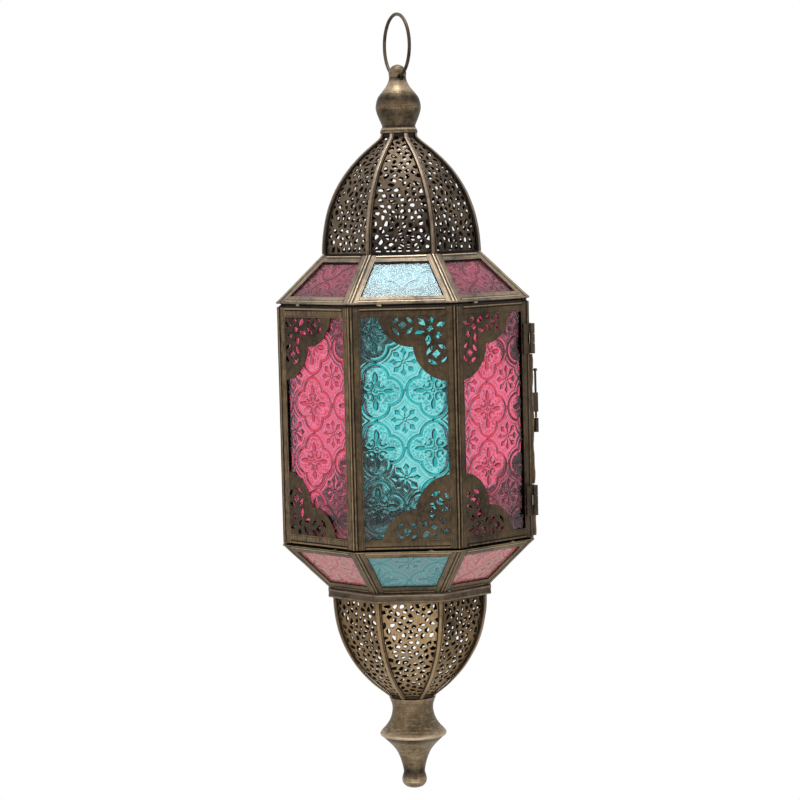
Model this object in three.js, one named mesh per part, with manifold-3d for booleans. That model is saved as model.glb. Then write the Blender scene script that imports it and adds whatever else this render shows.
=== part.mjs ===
// Moroccan hanging lantern: an octagonal body of coloured glass between a pierced dome and a pierced bowl,
// hung from a wire ring. Millimetres, +Z up. The origin is the top of the ring's inside, where a hook
// holds it.
// Faces are counted from the front, -Y, turning towards the right, +X.

import * as THREE from "three";
import { mergeVertices } from "three/addons/utils/BufferGeometryUtils.js";
import Module from "manifold-3d";

const wasm = await Module();
wasm.setup();

// The eight-sided plan
const FACES = 8;
const FACE_TURN = (2 * Math.PI) / FACES;
const HALF_TURN = FACE_TURN / 2;
const DOOR_FACE = 2;
const PINK_FACES = 2; // every second face is pink, the others are teal

// Clearances
const FIT = 0.3; // between neighbouring pieces that rest on each other
const RUNNING_FIT = 0.3; // round the pins of the hinges and the latch
const FUSE = 0.15; // how far two soldered pieces bite into each other

// Hanging ring
const RING_DIAMETER = 38;
const RING_WIRE = 2;
const RING_AZIMUTH = THREE.MathUtils.degToRad(24); // of the eye that the ring passes through
const EYE_RADIUS = 2.1;

// Turned finial on the dome
const BALL_RADIUS = 5.15;
const BALL_DROP = 1.95; // from the ball's middle down to the eye's middle
const TOP_FINIAL_HEIGHT = 32.8; // from the eye down to the foot of its collar
const BULB_RADIUS = 13.1;
const BULB_HEIGHT = 15.8;
const NECK_RADIUS = 4.95;
const NECK_HEIGHT = 31.4;
const WAIST_RADIUS = 9.6;
const WAIST_HEIGHT = 4;
const COLLAR_RADIUS = 11;
const COLLAR_TOP_RADIUS = 10.4;
const COLLAR_HEIGHT = 2.7;

// Studs and nuts that hold the finials
const STUD_RADIUS = 2.5;
const STUD_LENGTH = 7;
const NUT_RADIUS = 4.6;
const NUT_HEIGHT = 3;

// Dome, measured over its ribs
const DOME_HEIGHT = 68.7;
const DOME_BASE_RADIUS = 48.9;
const DOME_TOP_RADIUS = 10.9;
const DOME_SHOULDER = [0.997, 0.75]; // the curve's pull, as shares of the base radius and the height
const DOME_NECK = [0.74, 0.937]; // as shares of the top radius and the height
const DOME_SEAT = 0.47; // from the dome's foot out to the roof's top edge

// Bowl, measured over its ribs, with its heights counted downwards
const BOWL_DEPTH = 62.3;
const BOWL_TOP_RADIUS = 47.8;
const BOWL_FOOT_RADIUS = 14;
const BOWL_SHOULDER = [1.002, 0.683]; // as shares of the mouth's radius and the depth
const BOWL_NECK = [1.057, 0.965]; // as shares of the foot's radius and the depth
const BOWL_SEAT = 3.2; // from the bowl's mouth out to the band's outside

// Pierced sheet and its ribs
const SHEET = 0.8;
const RIB_THICKNESS = 1.2;
const RIB_FOOT_WIDTH = 4.2;
const RIB_TOP_WIDTH = 2.6;
const CURVE_STEPS = 6;
const PIERCING_PITCH = 14;
const PIERCING_LENGTH = 7.5;
const PIERCING_WIDTH = 4.6;
const PIERCING_ANGLE = Math.PI / 5;
const PIERCING_MARGIN = 4.2; // from the gore's edge to its outermost holes' middles
const FLANGE_THICKNESS = 1;
const FLANGE_WIDTH = 4.5;
const END_PLATE = 1.5;

// Glass body
const BODY_APOTHEM = 72;
const PANEL_HEIGHT = 136;
const ROOF_RISE = 25.8;
const ROOF_GAP = 2.7; // from the roof's rim down to the panels
const ROOF_RIM = 1;
const BASE_DROP = 26.9;
const BASE_SEAT = 1.1; // from the base's foot out to the band's outside
const BASE_GAP = 1.6;
const BASE_RIM = 0.6;
const RIM_WIDTH = 5;
const RIM_OVERHANG = 0.3;

// Solder tabs in the two gaps
const TAB_WIDTH = 5;
const TAB_THICKNESS = 1.8;
const TAB_OFFSET = 13;

// Folded channel round each pane, with its depths counted from its crest
const PANEL_CHANNEL_WIDTH = 5.9;
const SLOPE_CHANNEL_WIDTH = 5; // on the roof and the base
const CREST_PLACE = 0.3; // of the channel's width, from its outer edge
const SHOULDER_DROP = 0.6;
const LIP_DROP = 0.5;
const LIP_THICKNESS = 0.7;
const BACK_LIP = 0.6;
const GROOVE_REACH = 1.7; // from the channel's inner edge to the bottom of its groove
const GLASS_THICKNESS = 1.6;

// Two-lobed brackets in the corners of the panels
const BRACKET_RAIL_LENGTH = 38;
const BRACKET_POST_LENGTH = 36;
const BRACKET_CUSP = [19, 17];
const BRACKET_THICKNESS = 0.4;
const LOBE_STEPS = 3;
const RAIL_ROSETTE = [26, 7.6];
const POST_ROSETTE = [8, 24.4];
const CORNER_LEAF = [6.6, 6.2];
const ROSETTE_REACH = 4.2;
const LEAF_LENGTH = 4.8;
const LEAF_WIDTH = 2.8;

// Band between the glass and the bowl
const BAND_HEIGHT = 5.3;
const BAND_WALL = 3.8;
const BAND_LEDGE = 3.5;
const BAND_LEDGE_HEIGHT = 1.5;
const BAND_ROUNDING = 0.6;

// Candle tray and cup
const TRAY_THICKNESS = 1.2;
const TRAY_SLOT_INNER = 26;
const TRAY_SLOT_OUTER = 36;
const TRAY_SLOT_WIDTH = 8;
const CUP_INNER_RADIUS = 20.3; // takes a standard tealight
const CUP_WALL = 1;
const CUP_HEIGHT = 12;
const RIVET_RADIUS = 2.5;
const RIVET_HEAD_RADIUS = 4.5;
const RIVET_HEAD_HEIGHT = 1.2;

// Turned finial under the bowl
const BOTTOM_FINIAL_HEIGHT = 54.8;
const FOOT_COLLAR_RADIUS = 13.8;
const FOOT_WAIST_RADIUS = 12;
const FOOT_WAIST_DEPTH = 6.8;
const DISC_RADIUS = 19.6;
const DISC_DEPTH = 22;
const STEM_RADIUS = 6.3;
const STEM_DEPTH = 44.7;
const TIP_RADIUS = 7.3;
const TIP_DEPTH = 49.4;

// Hinges, each with two knuckles on the post and one on the door
const HINGE_HEIGHT = 17.3;
const HINGE_INSET = 21.5; // from the panel's end to the hinge's middle
const BARREL_RADIUS = 1.5;
const PIN_RADIUS = 0.7;
const BARREL_STANDOFF = 1.65; // from the post's corner to the pin's axis
const LEAF_PLATE_WIDTH = 6.5;
const LEAF_PLATE_THICKNESS = 0.8;

// Latch on the post at the door's other side
const LATCH_STANDOFF = 6; // from the post's corner to the drop pin's axis
const LATCH_ARM_THICKNESS = 1.6;
const LATCH_TOP_DROP = 57.5; // from the panels' top to the upper knuckle's top
const LATCH_UPPER_HEIGHT = 11.4;
const LATCH_KNUCKLE_GAP = 3.8;
const LATCH_LOWER_HEIGHT = 8.4;
const LATCH_PIN_TRAVEL = 12.8;
const LATCH_PIN_HEAD_RADIUS = 1.4;
const LATCH_PIN_HEAD_HEIGHT = 1.4;

// Facets of round pieces
const TURNED_SIDES = 16;
const SMALL_SIDES = 10;
const WIRE_SIDES = 6;
const RING_SIDES = 24;
const LARGE = 400; // past every edge of the lantern, for trimming

// Heights, from the ring's inner top down
const RING_MIDDLE_Z = RING_WIRE - RING_DIAMETER / 2;
const RING_BEND_RADIUS = (RING_DIAMETER - RING_WIRE) / 2;
const EYE_Z = RING_MIDDLE_Z - RING_BEND_RADIUS;
const DOME_TOP_Z = EYE_Z - TOP_FINIAL_HEIGHT;
const DOME_BASE_Z = DOME_TOP_Z - DOME_HEIGHT;
const ROOF_RIM_Z = DOME_BASE_Z - ROOF_RISE;
const PANEL_TOP_Z = ROOF_RIM_Z - ROOF_GAP;
const PANEL_BOTTOM_Z = PANEL_TOP_Z - PANEL_HEIGHT;
const BASE_TOP_Z = PANEL_BOTTOM_Z - BASE_GAP;
const BASE_FOOT_Z = BASE_TOP_Z - BASE_DROP;
const BAND_BOTTOM_Z = BASE_FOOT_Z - BAND_HEIGHT;
const BOWL_FOOT_Z = BAND_BOTTOM_Z - BOWL_DEPTH;
const TRAY_Z = BAND_BOTTOM_Z + BAND_LEDGE_HEIGHT + FIT;
const CUP_Z = TRAY_Z + TRAY_THICKNESS + FIT;

// The sloping panes meet the dome and the band
const ROOF_TOP_APOTHEM = DOME_BASE_RADIUS * Math.cos(HALF_TURN) + DOME_SEAT;
const BAND_APOTHEM = BOWL_TOP_RADIUS * Math.cos(HALF_TURN) + BOWL_SEAT;
const BASE_FOOT_APOTHEM = BAND_APOTHEM - BASE_SEAT;

// The channel's groove and the glass in it
const GROOVE_FRONT = LIP_DROP + LIP_THICKNESS;
const GLASS_FRONT = GROOVE_FRONT + FIT;
const GROOVE_BACK = GLASS_FRONT + GLASS_THICKNESS + FIT;
const CHANNEL_DEPTH = GROOVE_BACK + BACK_LIP;
const PANEL_WIDTH = 2 * BODY_APOTHEM * Math.tan(HALF_TURN);
const POST_RADIUS = BODY_APOTHEM / Math.cos(HALF_TURN);
const UPRIGHT = Math.PI / 2;

const agedBrass = new THREE.MeshStandardMaterial({
  color: 0x8a7350, roughness: 0.45, metalness: 0.9, flatShading: true,
});
const darkBrass = new THREE.MeshStandardMaterial({
  color: 0x5c4a34, roughness: 0.5, metalness: 0.9, flatShading: true,
});
const tealGlass = new THREE.MeshStandardMaterial({
  color: 0x3fb8b8, roughness: 0.1, metalness: 0, transparent: true, opacity: 0.5,
});
const pinkGlass = new THREE.MeshStandardMaterial({
  color: 0xd64f7c, roughness: 0.1, metalness: 0, transparent: true, opacity: 0.5,
});

// The same geometry with its faces pointing out, whichever way they were wound.
function facingOut(geometry) {
  const position = geometry.attributes.position;
  const index = geometry.index;
  const a = new THREE.Vector3();
  const b = new THREE.Vector3();
  const c = new THREE.Vector3();
  let volume = 0;
  for (let i = 0; i < index.count; i += 3) {
    a.fromBufferAttribute(position, index.getX(i));
    b.fromBufferAttribute(position, index.getX(i + 1));
    c.fromBufferAttribute(position, index.getX(i + 2));
    volume += a.dot(b.cross(c));
  }
  if (volume < 0) {
    const turned = Array.from(index.array).reverse();
    geometry.setIndex(turned);
  }
  return geometry;
}

// The geometry with its shared corners merged and nothing but positions.
function bare(geometry) {
  const copy = geometry.clone();
  copy.deleteAttribute("normal");
  copy.deleteAttribute("uv");
  const merged = mergeVertices(copy, 1e-4);
  return facingOut(merged);
}

function toSolid(geometry) {
  const clean = bare(geometry);
  const vertProperties = new Float32Array(clean.attributes.position.array);
  const triVerts = new Uint32Array(clean.index.array);
  return new wasm.Manifold(new wasm.Mesh({ numProp: 3, vertProperties, triVerts }));
}

function toGeometry(solid) {
  const mesh = solid.getMesh();
  const geometry = new THREE.BufferGeometry();
  geometry.setAttribute("position", new THREE.BufferAttribute(mesh.vertProperties, 3));
  geometry.setIndex(new THREE.BufferAttribute(mesh.triVerts, 1));
  return geometry;
}

function join(geometries) {
  return toGeometry(geometries.map(toSolid).reduce((sum, next) => sum.add(next)));
}

function cut(geometry, tools) {
  return toGeometry(tools.map(toSolid).reduce((rest, tool) => rest.subtract(tool), toSolid(geometry)));
}

function common(geometry, other) {
  return toGeometry(toSolid(geometry).intersect(toSolid(other)));
}

// A solid through rings of corners. A loop joins its last ring to its first, and any other loft is capped.
function loft(rings, isLoop) {
  const corners = rings[0].length;
  const positions = rings.flat().flatMap((corner) => [corner.x, corner.y, corner.z]);
  const index = [];
  const spans = isLoop ? rings.length : rings.length - 1;
  for (let span = 0; span < spans; span++) {
    const here = span * corners;
    const next = ((span + 1) % rings.length) * corners;
    for (let i = 0; i < corners; i++) {
      const j = (i + 1) % corners;
      index.push(here + i, here + j, next + j);
      index.push(here + i, next + j, next + i);
    }
  }
  if (!isLoop) {
    const last = (rings.length - 1) * corners;
    for (let i = 1; i + 1 < corners; i++) {
      index.push(0, i + 1, i);
      index.push(last, last + i, last + i + 1);
    }
  }
  const geometry = new THREE.BufferGeometry();
  geometry.setAttribute("position", new THREE.Float32BufferAttribute(positions, 3));
  geometry.setIndex(index);
  return facingOut(geometry);
}

// A solid turned about Z from a profile of [radius, z] that starts and ends on the axis.
function turned(profile, sides) {
  const points = profile.map(([radius, z]) => new THREE.Vector2(radius, z));
  return bare(new THREE.LatheGeometry(points, sides).rotateX(UPRIGHT));
}

// An upright cylinder from its lower to its upper end.
function upright(radius, lowZ, highZ, sides) {
  const shape = new THREE.CylinderGeometry(radius, radius, highZ - lowZ, sides);
  return shape.rotateX(UPRIGHT).translate(0, 0, (lowZ + highZ) / 2);
}

function block(width, depth, lowZ, highZ) {
  return new THREE.BoxGeometry(width, depth, highZ - lowZ).translate(0, 0, (lowZ + highZ) / 2);
}

// A straight-edged shape pushed from one height to another.
function slab(shape, lowZ, highZ) {
  const settings = { depth: highZ - lowZ, bevelEnabled: false, curveSegments: 1 };
  return bare(new THREE.ExtrudeGeometry(shape, settings).translate(0, 0, lowZ));
}

// An octagonal ring whose section is a list of [apothem, z].
function octagonalRing(section) {
  const rings = [];
  for (let face = 0; face < FACES; face++) {
    const azimuth = (face + 0.5) * FACE_TURN;
    const ring = section.map(([apothem, z]) => {
      const radius = apothem / Math.cos(HALF_TURN);
      return new THREE.Vector3(radius * Math.sin(azimuth), -radius * Math.cos(azimuth), z);
    });
    rings.push(ring);
  }
  return loft(rings, true);
}

// From a panel's own axes, x to its right, y up and z outward, to its place on a face.
function panelPlace(face, apothem, z, lean) {
  const place = new THREE.Matrix4().makeRotationZ(face * FACE_TURN);
  place.multiply(new THREE.Matrix4().makeTranslation(0, -apothem, z));
  return place.multiply(new THREE.Matrix4().makeRotationX(lean));
}

// How much a panel's edge is cut back for each millimetre of depth, so that it mitres with its neighbour.
function mitreSlope(lean) {
  return Math.tan(Math.asin(Math.sin(lean) * Math.sin(HALF_TURN)));
}

function symmetricOutline(bottomWidth, topWidth, height) {
  return [
    new THREE.Vector2(-bottomWidth / 2, 0),
    new THREE.Vector2(bottomWidth / 2, 0),
    new THREE.Vector2(topWidth / 2, height),
    new THREE.Vector2(-topWidth / 2, height),
  ];
}

// A convex outline's corners, moved in by the same distance from every edge.
function insetOutline(outline, inset) {
  return outline.map((corner, i) => {
    const before = outline[(i + outline.length - 1) % outline.length];
    const after = outline[(i + 1) % outline.length];
    const into = corner.clone().sub(before).normalize();
    const away = after.clone().sub(corner).normalize();
    const firstNormal = new THREE.Vector2(-into.y, into.x);
    const secondNormal = new THREE.Vector2(-away.y, away.x);
    const mitre = firstNormal.clone().add(secondNormal);
    return corner.clone().addScaledVector(mitre, inset / (1 + firstNormal.dot(secondNormal)));
  });
}

// The folded channel that holds a pane: a crest in front, a groove for the glass and a lip behind.
function channelFrame(outline, width, edgeGap, slope) {
  const web = width - GROOVE_REACH;
  const edgeAt = (depth) => edgeGap + depth * slope;
  const section = [
    [edgeAt(SHOULDER_DROP), SHOULDER_DROP],
    [width * CREST_PLACE, 0],
    [width, LIP_DROP],
    [width, GROOVE_FRONT],
    [web, GROOVE_FRONT],
    [web, GROOVE_BACK],
    [width, GROOVE_BACK],
    [width, CHANNEL_DEPTH],
    [edgeAt(CHANNEL_DEPTH), CHANNEL_DEPTH],
  ];
  const layers = section.map(([inset, depth]) =>
    insetOutline(outline, inset).map((corner) => new THREE.Vector3(corner.x, corner.y, -depth)));
  const rings = outline.map((_, corner) => layers.map((layer) => layer[corner]));
  return loft(rings, true);
}

// The pane that sits in the groove of a channel of the given width.
function pane(outline, width) {
  const shape = new THREE.Shape(insetOutline(outline, width - GROOVE_REACH + FIT));
  return slab(shape, -GLASS_FRONT - GLASS_THICKNESS, -GLASS_FRONT);
}

// A four-cornered leaf, as a hole.
function leafHole(x, y, angle, length, width) {
  const along = new THREE.Vector2(Math.cos(angle), Math.sin(angle));
  const across = new THREE.Vector2(-along.y, along.x);
  const middle = new THREE.Vector2(x, y);
  return new THREE.Path([
    middle.clone().addScaledVector(along, length / 2),
    middle.clone().addScaledVector(across, width / 2),
    middle.clone().addScaledVector(along, -length / 2),
    middle.clone().addScaledVector(across, -width / 2),
  ]);
}

// Four leaves round a point.
function rosetteHoles(x, y) {
  const holes = [];
  for (let leaf = 0; leaf < 4; leaf++) {
    const angle = (leaf * Math.PI) / 2;
    const leafX = x + ROSETTE_REACH * Math.cos(angle);
    const leafY = y + ROSETTE_REACH * Math.sin(angle);
    holes.push(leafHole(leafX, leafY, angle, LEAF_LENGTH, LEAF_WIDTH));
  }
  return holes;
}

// The pierced bracket, with x along the rail and y along the post, counted from the window's corner.
function bracket() {
  const [cuspX, cuspY] = BRACKET_CUSP;
  const root = -GROOVE_REACH / 2; // how far its straight sides reach into the channel
  const railLobe = new THREE.QuadraticBezierCurve(
    new THREE.Vector2(BRACKET_RAIL_LENGTH, 0),
    new THREE.Vector2(BRACKET_RAIL_LENGTH, cuspY),
    new THREE.Vector2(cuspX, cuspY),
  );
  const postLobe = new THREE.QuadraticBezierCurve(
    new THREE.Vector2(cuspX, cuspY),
    new THREE.Vector2(cuspX, BRACKET_POST_LENGTH),
    new THREE.Vector2(0, BRACKET_POST_LENGTH),
  );
  const shape = new THREE.Shape([
    new THREE.Vector2(root, root),
    new THREE.Vector2(BRACKET_RAIL_LENGTH, root),
    ...railLobe.getPoints(LOBE_STEPS),
    ...postLobe.getPoints(LOBE_STEPS).slice(1),
    new THREE.Vector2(root, BRACKET_POST_LENGTH),
  ]);
  shape.holes.push(...rosetteHoles(...RAIL_ROSETTE));
  shape.holes.push(...rosetteHoles(...POST_ROSETTE));
  shape.holes.push(leafHole(...CORNER_LEAF, Math.PI / 4, LEAF_LENGTH, LEAF_WIDTH));
  const top = -LIP_DROP - (LIP_THICKNESS - BRACKET_THICKNESS) / 2;
  return slab(shape, top - BRACKET_THICKNESS, top);
}

// A panel's channel with a bracket in the top and bottom corner on one side: 1 is its right, -1 its left.
function sideFrame(side) {
  const outline = symmetricOutline(PANEL_WIDTH, PANEL_WIDTH, PANEL_HEIGHT);
  const pieces = [channelFrame(outline, PANEL_CHANNEL_WIDTH, FIT / 2, mitreSlope(UPRIGHT))];
  const windowX = PANEL_WIDTH / 2 - PANEL_CHANNEL_WIDTH;
  for (const [cornerY, up] of [[PANEL_HEIGHT - PANEL_CHANNEL_WIDTH, 1], [PANEL_CHANNEL_WIDTH, -1]]) {
    const corner = bracket().scale(-side, -up, 1).translate(side * windowX, cornerY, 0);
    pieces.push(corner);
  }
  return join(pieces);
}

// A tab that bridges the gap between a sloping frame and the panels.
function tab(face, side, lowZ, highZ) {
  const middle = BODY_APOTHEM - TAB_THICKNESS / 2 - SHOULDER_DROP;
  const piece = block(TAB_WIDTH, TAB_THICKNESS, lowZ, highZ).translate(side * TAB_OFFSET, -middle, 0);
  return piece.rotateZ(face * FACE_TURN);
}

// A skeleton of eight sloping channels soldered along their seams, with a flat rim and tabs.
function slopingFrame(slope, rimSection, tabLowZ, tabHighZ, tabSide, lowZ, highZ) {
  const outline = slope.outline;
  const channel = channelFrame(outline, SLOPE_CHANNEL_WIDTH, -FUSE / 2, mitreSlope(slope.lean));
  const channels = [];
  const tabs = [];
  for (let face = 0; face < FACES; face++) {
    const place = panelPlace(face, slope.apothem, slope.z, slope.lean);
    channels.push(channel.clone().applyMatrix4(place));
    tabs.push(tab(face, tabSide, tabLowZ, tabHighZ));
  }
  const skeleton = common(join(channels), block(LARGE, LARGE, lowZ, highZ));
  return join([skeleton, octagonalRing(rimSection), ...tabs]);
}

// A flat rim's section, as wide as RIM_WIDTH and a little past the body's faces.
function rimSection(lowZ, highZ) {
  const outer = BODY_APOTHEM + RIM_OVERHANG;
  const inner = BODY_APOTHEM - RIM_WIDTH;
  return [[outer, lowZ], [outer, highZ], [inner, highZ], [inner, lowZ]];
}

// Where a sloping pane lies: its lower edge's apothem and height, its lean and its outline.
function slopingPlace(lowApothem, lowZ, highApothem, highZ) {
  const run = lowApothem - highApothem;
  const rise = highZ - lowZ;
  const bottomWidth = 2 * lowApothem * Math.tan(HALF_TURN);
  const topWidth = 2 * highApothem * Math.tan(HALF_TURN);
  const outline = symmetricOutline(bottomWidth, topWidth, Math.hypot(run, rise));
  return { apothem: lowApothem, z: lowZ, lean: Math.atan2(rise, run), outline };
}

// A curve in the plane of radius and z, from a foot to a top. Its handles are shares of the radius at their
// own end and of the way from the foot to the top.
function shellCurve(footRadius, footZ, shoulder, neck, topRadius, topZ) {
  return new THREE.CubicBezierCurve(
    new THREE.Vector2(footRadius, footZ),
    new THREE.Vector2(footRadius * shoulder[0], THREE.MathUtils.lerp(footZ, topZ, shoulder[1])),
    new THREE.Vector2(topRadius * neck[0], THREE.MathUtils.lerp(footZ, topZ, neck[1])),
    new THREE.Vector2(topRadius, topZ),
  );
}

// The curve's point at a share of its length, moved along its outward normal.
function offsetPoint(curve, share, offset) {
  const point = curve.getPointAt(share);
  const tangent = curve.getTangentAt(share);
  const side = Math.sign(curve.v3.y - curve.v0.y);
  return new THREE.Vector2(point.x + offset * side * tangent.y, point.y - offset * side * tangent.x);
}

// The share of the curve's length at one of its steps, which lie closer together where it bends more.
function shareAtStep(curve, step) {
  const lengths = curve.getLengths();
  const last = lengths.length - 1;
  return lengths[Math.round((last * step) / CURVE_STEPS)] / lengths[last];
}

// How wide a rib is at a share of its length.
function ribHalfWidth(share) {
  return THREE.MathUtils.lerp(RIB_FOOT_WIDTH, RIB_TOP_WIDTH, share) / 2;
}

// The same curve in the middle of a face, where the octagon is narrower.
function faceCurve(curve) {
  const narrow = (point) => new THREE.Vector2(point.x * Math.cos(HALF_TURN), point.y);
  return new THREE.CubicBezierCurve(narrow(curve.v0), narrow(curve.v1), narrow(curve.v2), narrow(curve.v3));
}

// A gore's holes in its flat pattern: staggered rows of leaves that turn alternate ways.
function goreHoles(length, halfWidthAt) {
  const holes = [];
  const rows = Math.floor((length - PIERCING_PITCH) / PIERCING_PITCH) + 1;
  for (let row = 0; row < rows; row++) {
    const y = (length - (rows - 1) * PIERCING_PITCH) / 2 + row * PIERCING_PITCH;
    const reach = halfWidthAt(y) - PIERCING_MARGIN;
    if (reach < 0) continue;
    const spans = Math.round((2 * reach) / PIERCING_PITCH);
    const spacing = spans > 0 ? (2 * reach) / spans : 0;
    const isStaggered = row % 2 === 1 && spans > 0;
    const columns = isStaggered ? spans : spans + 1;
    for (let column = 0; column < columns; column++) {
      const x = (column - (columns - 1) / 2) * spacing;
      const angle = ((row + column) % 2 ? 1 : -1) * PIERCING_ANGLE;
      holes.push(leafHole(x, y, angle, PIERCING_LENGTH, PIERCING_WIDTH));
    }
  }
  return holes;
}

// A gore's flat pattern: its length, its half width along it, its holes, and where each height lies on
// the bend.
function gorePattern(bend, start, end, outerOffset, edgeGap) {
  const fullLength = bend.getLength();
  const length = fullLength - start - end;
  const shareAt = (y) => (start + y) / fullLength;
  const halfWidthAt = (y) =>
    offsetPoint(bend, shareAt(y), outerOffset - SHEET).x * Math.tan(HALF_TURN) - edgeGap;
  return { length, shareAt, halfWidthAt, holes: goreHoles(length, halfWidthAt) };
}

// A flat hole as the solid that pierces the bent sheet.
function piercing(bend, pattern, hole) {
  const ringAt = (offset) => hole.getPoints().slice(0, 4).map((corner) => {
    const bent = offsetPoint(bend, pattern.shareAt(corner.y), offset);
    return new THREE.Vector3(corner.x, -bent.x, bent.y);
  });
  return loft([ringAt(-RIB_THICKNESS + 1), ringAt(-RIB_THICKNESS - SHEET - 1)], false);
}

// One gore: cut flat and pierced, then bent to the shell's curve.
function gore(curve, start, end, outerOffset, edgeGap) {
  const bend = faceCurve(curve);
  const { length, shareAt, halfWidthAt, holes } = gorePattern(bend, start, end, outerOffset, edgeGap);
  const right = [];
  const left = [];
  for (let step = 0; step <= CURVE_STEPS; step++) {
    const y = length * shareAtStep(bend, step);
    right.push(new THREE.Vector2(halfWidthAt(y), y));
    left.unshift(new THREE.Vector2(-halfWidthAt(y), y));
  }
  const shape = new THREE.Shape([...right, ...left]);
  shape.holes.push(...holes);
  const geometry = slab(shape, outerOffset - SHEET, outerOffset);
  const position = geometry.attributes.position;
  for (let i = 0; i < position.count; i++) {
    const bent = offsetPoint(bend, shareAt(position.getY(i)), position.getZ(i));
    position.setXYZ(i, position.getX(i), -bent.x, bent.y);
  }
  return facingOut(geometry);
}

// A corner's outward and sideways directions.
function cornerAxes(corner) {
  const azimuth = (corner + 0.5) * FACE_TURN;
  const outward = new THREE.Vector3(Math.sin(azimuth), -Math.cos(azimuth), 0);
  const sideways = new THREE.Vector3(Math.cos(azimuth), Math.sin(azimuth), 0);
  return [outward, sideways];
}

// A rib over the seam of two gores, which narrows towards the shell's end.
function rib(curve, corner) {
  const [outward, sideways] = cornerAxes(corner);
  const rings = [];
  for (let step = 0; step <= CURVE_STEPS; step++) {
    const share = shareAtStep(curve, step);
    const halfWidth = ribHalfWidth(share);
    const outer = offsetPoint(curve, share, 0);
    const inner = offsetPoint(curve, share, -RIB_THICKNESS);
    const at = (point, x) =>
      outward.clone().multiplyScalar(point.x).addScaledVector(sideways, x).setZ(point.y);
    rings.push([at(outer, -halfWidth), at(outer, halfWidth), at(inner, halfWidth), at(inner, -halfWidth)]);
  }
  return loft(rings, false);
}

function ribs(curve) {
  return Array.from({ length: FACES }, (_, corner) => rib(curve, corner));
}

// A flat octagonal flange at the shell's wide end, which the ribs are soldered to.
function shellFlange(radius, lowZ, highZ) {
  const outer = radius * Math.cos(HALF_TURN);
  const inner = outer - FLANGE_WIDTH;
  return octagonalRing([[outer, lowZ], [outer, highZ], [inner, highZ], [inner, lowZ]]);
}

// The hole for a finial's stud.
function studHole(lowZ, highZ) {
  return upright(STUD_RADIUS + FIT, lowZ, highZ, SMALL_SIDES);
}

function nut(lowZ) {
  const body = upright(NUT_RADIUS, lowZ, lowZ + NUT_HEIGHT, 6);
  return cut(body, [studHole(lowZ - 1, lowZ + NUT_HEIGHT + 1)]);
}

const domeCurve = shellCurve(
  DOME_BASE_RADIUS, DOME_BASE_Z + FIT, DOME_SHOULDER, DOME_NECK, DOME_TOP_RADIUS, DOME_TOP_Z);
const bowlCurve = shellCurve(
  BOWL_TOP_RADIUS, BAND_BOTTOM_Z - FIT, BOWL_SHOULDER, BOWL_NECK, BOWL_FOOT_RADIUS, BOWL_FOOT_Z);
const roofPlace = slopingPlace(BODY_APOTHEM, ROOF_RIM_Z, ROOF_TOP_APOTHEM, DOME_BASE_Z);
const basePlace = slopingPlace(BASE_FOOT_APOTHEM, BASE_FOOT_Z, BODY_APOTHEM, BASE_TOP_Z);

function hangingRing() {
  const circle = new THREE.TorusGeometry(RING_BEND_RADIUS, RING_WIRE / 2, WIRE_SIDES, RING_SIDES);
  circle.rotateX(UPRIGHT).rotateZ(RING_AZIMUTH - UPRIGHT);
  return bare(circle.translate(0, 0, RING_MIDDLE_Z));
}

// Ball, pear-shaped bulb and collar turned in one, with a stud below and the ring's eye through the ball.
function topFinial() {
  const foot = DOME_TOP_Z + FIT;
  const ball = [];
  for (let step = 0; step <= 4; step++) {
    const angle = (step * Math.PI) / 8;
    ball.push([BALL_RADIUS * Math.sin(angle), EYE_Z + BALL_DROP + BALL_RADIUS * Math.cos(angle)]);
  }
  const { lerp } = THREE.MathUtils;
  const pear = new THREE.SplineCurve([
    new THREE.Vector2(NECK_RADIUS, NECK_HEIGHT),
    new THREE.Vector2(lerp(NECK_RADIUS, BULB_RADIUS, 0.5), lerp(BULB_HEIGHT, NECK_HEIGHT, 0.55)),
    new THREE.Vector2(BULB_RADIUS, BULB_HEIGHT),
    new THREE.Vector2(lerp(WAIST_RADIUS, BULB_RADIUS, 0.65), lerp(WAIST_HEIGHT, BULB_HEIGHT, 0.5)),
    new THREE.Vector2(WAIST_RADIUS, WAIST_HEIGHT),
  ]);
  const body = turned([
    ...ball,
    ...pear.getPoints(8).map((point) => [point.x, foot + point.y]),
    [COLLAR_TOP_RADIUS, foot + COLLAR_HEIGHT],
    [COLLAR_RADIUS, foot],
    [STUD_RADIUS, foot],
    [STUD_RADIUS, foot - STUD_LENGTH],
    [0, foot - STUD_LENGTH],
  ], TURNED_SIDES);
  const eye = upright(EYE_RADIUS, -LARGE / 2, LARGE / 2, SMALL_SIDES);
  eye.rotateX(UPRIGHT).rotateZ(RING_AZIMUTH).translate(0, 0, EYE_Z);
  return cut(body, [eye]);
}

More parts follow.
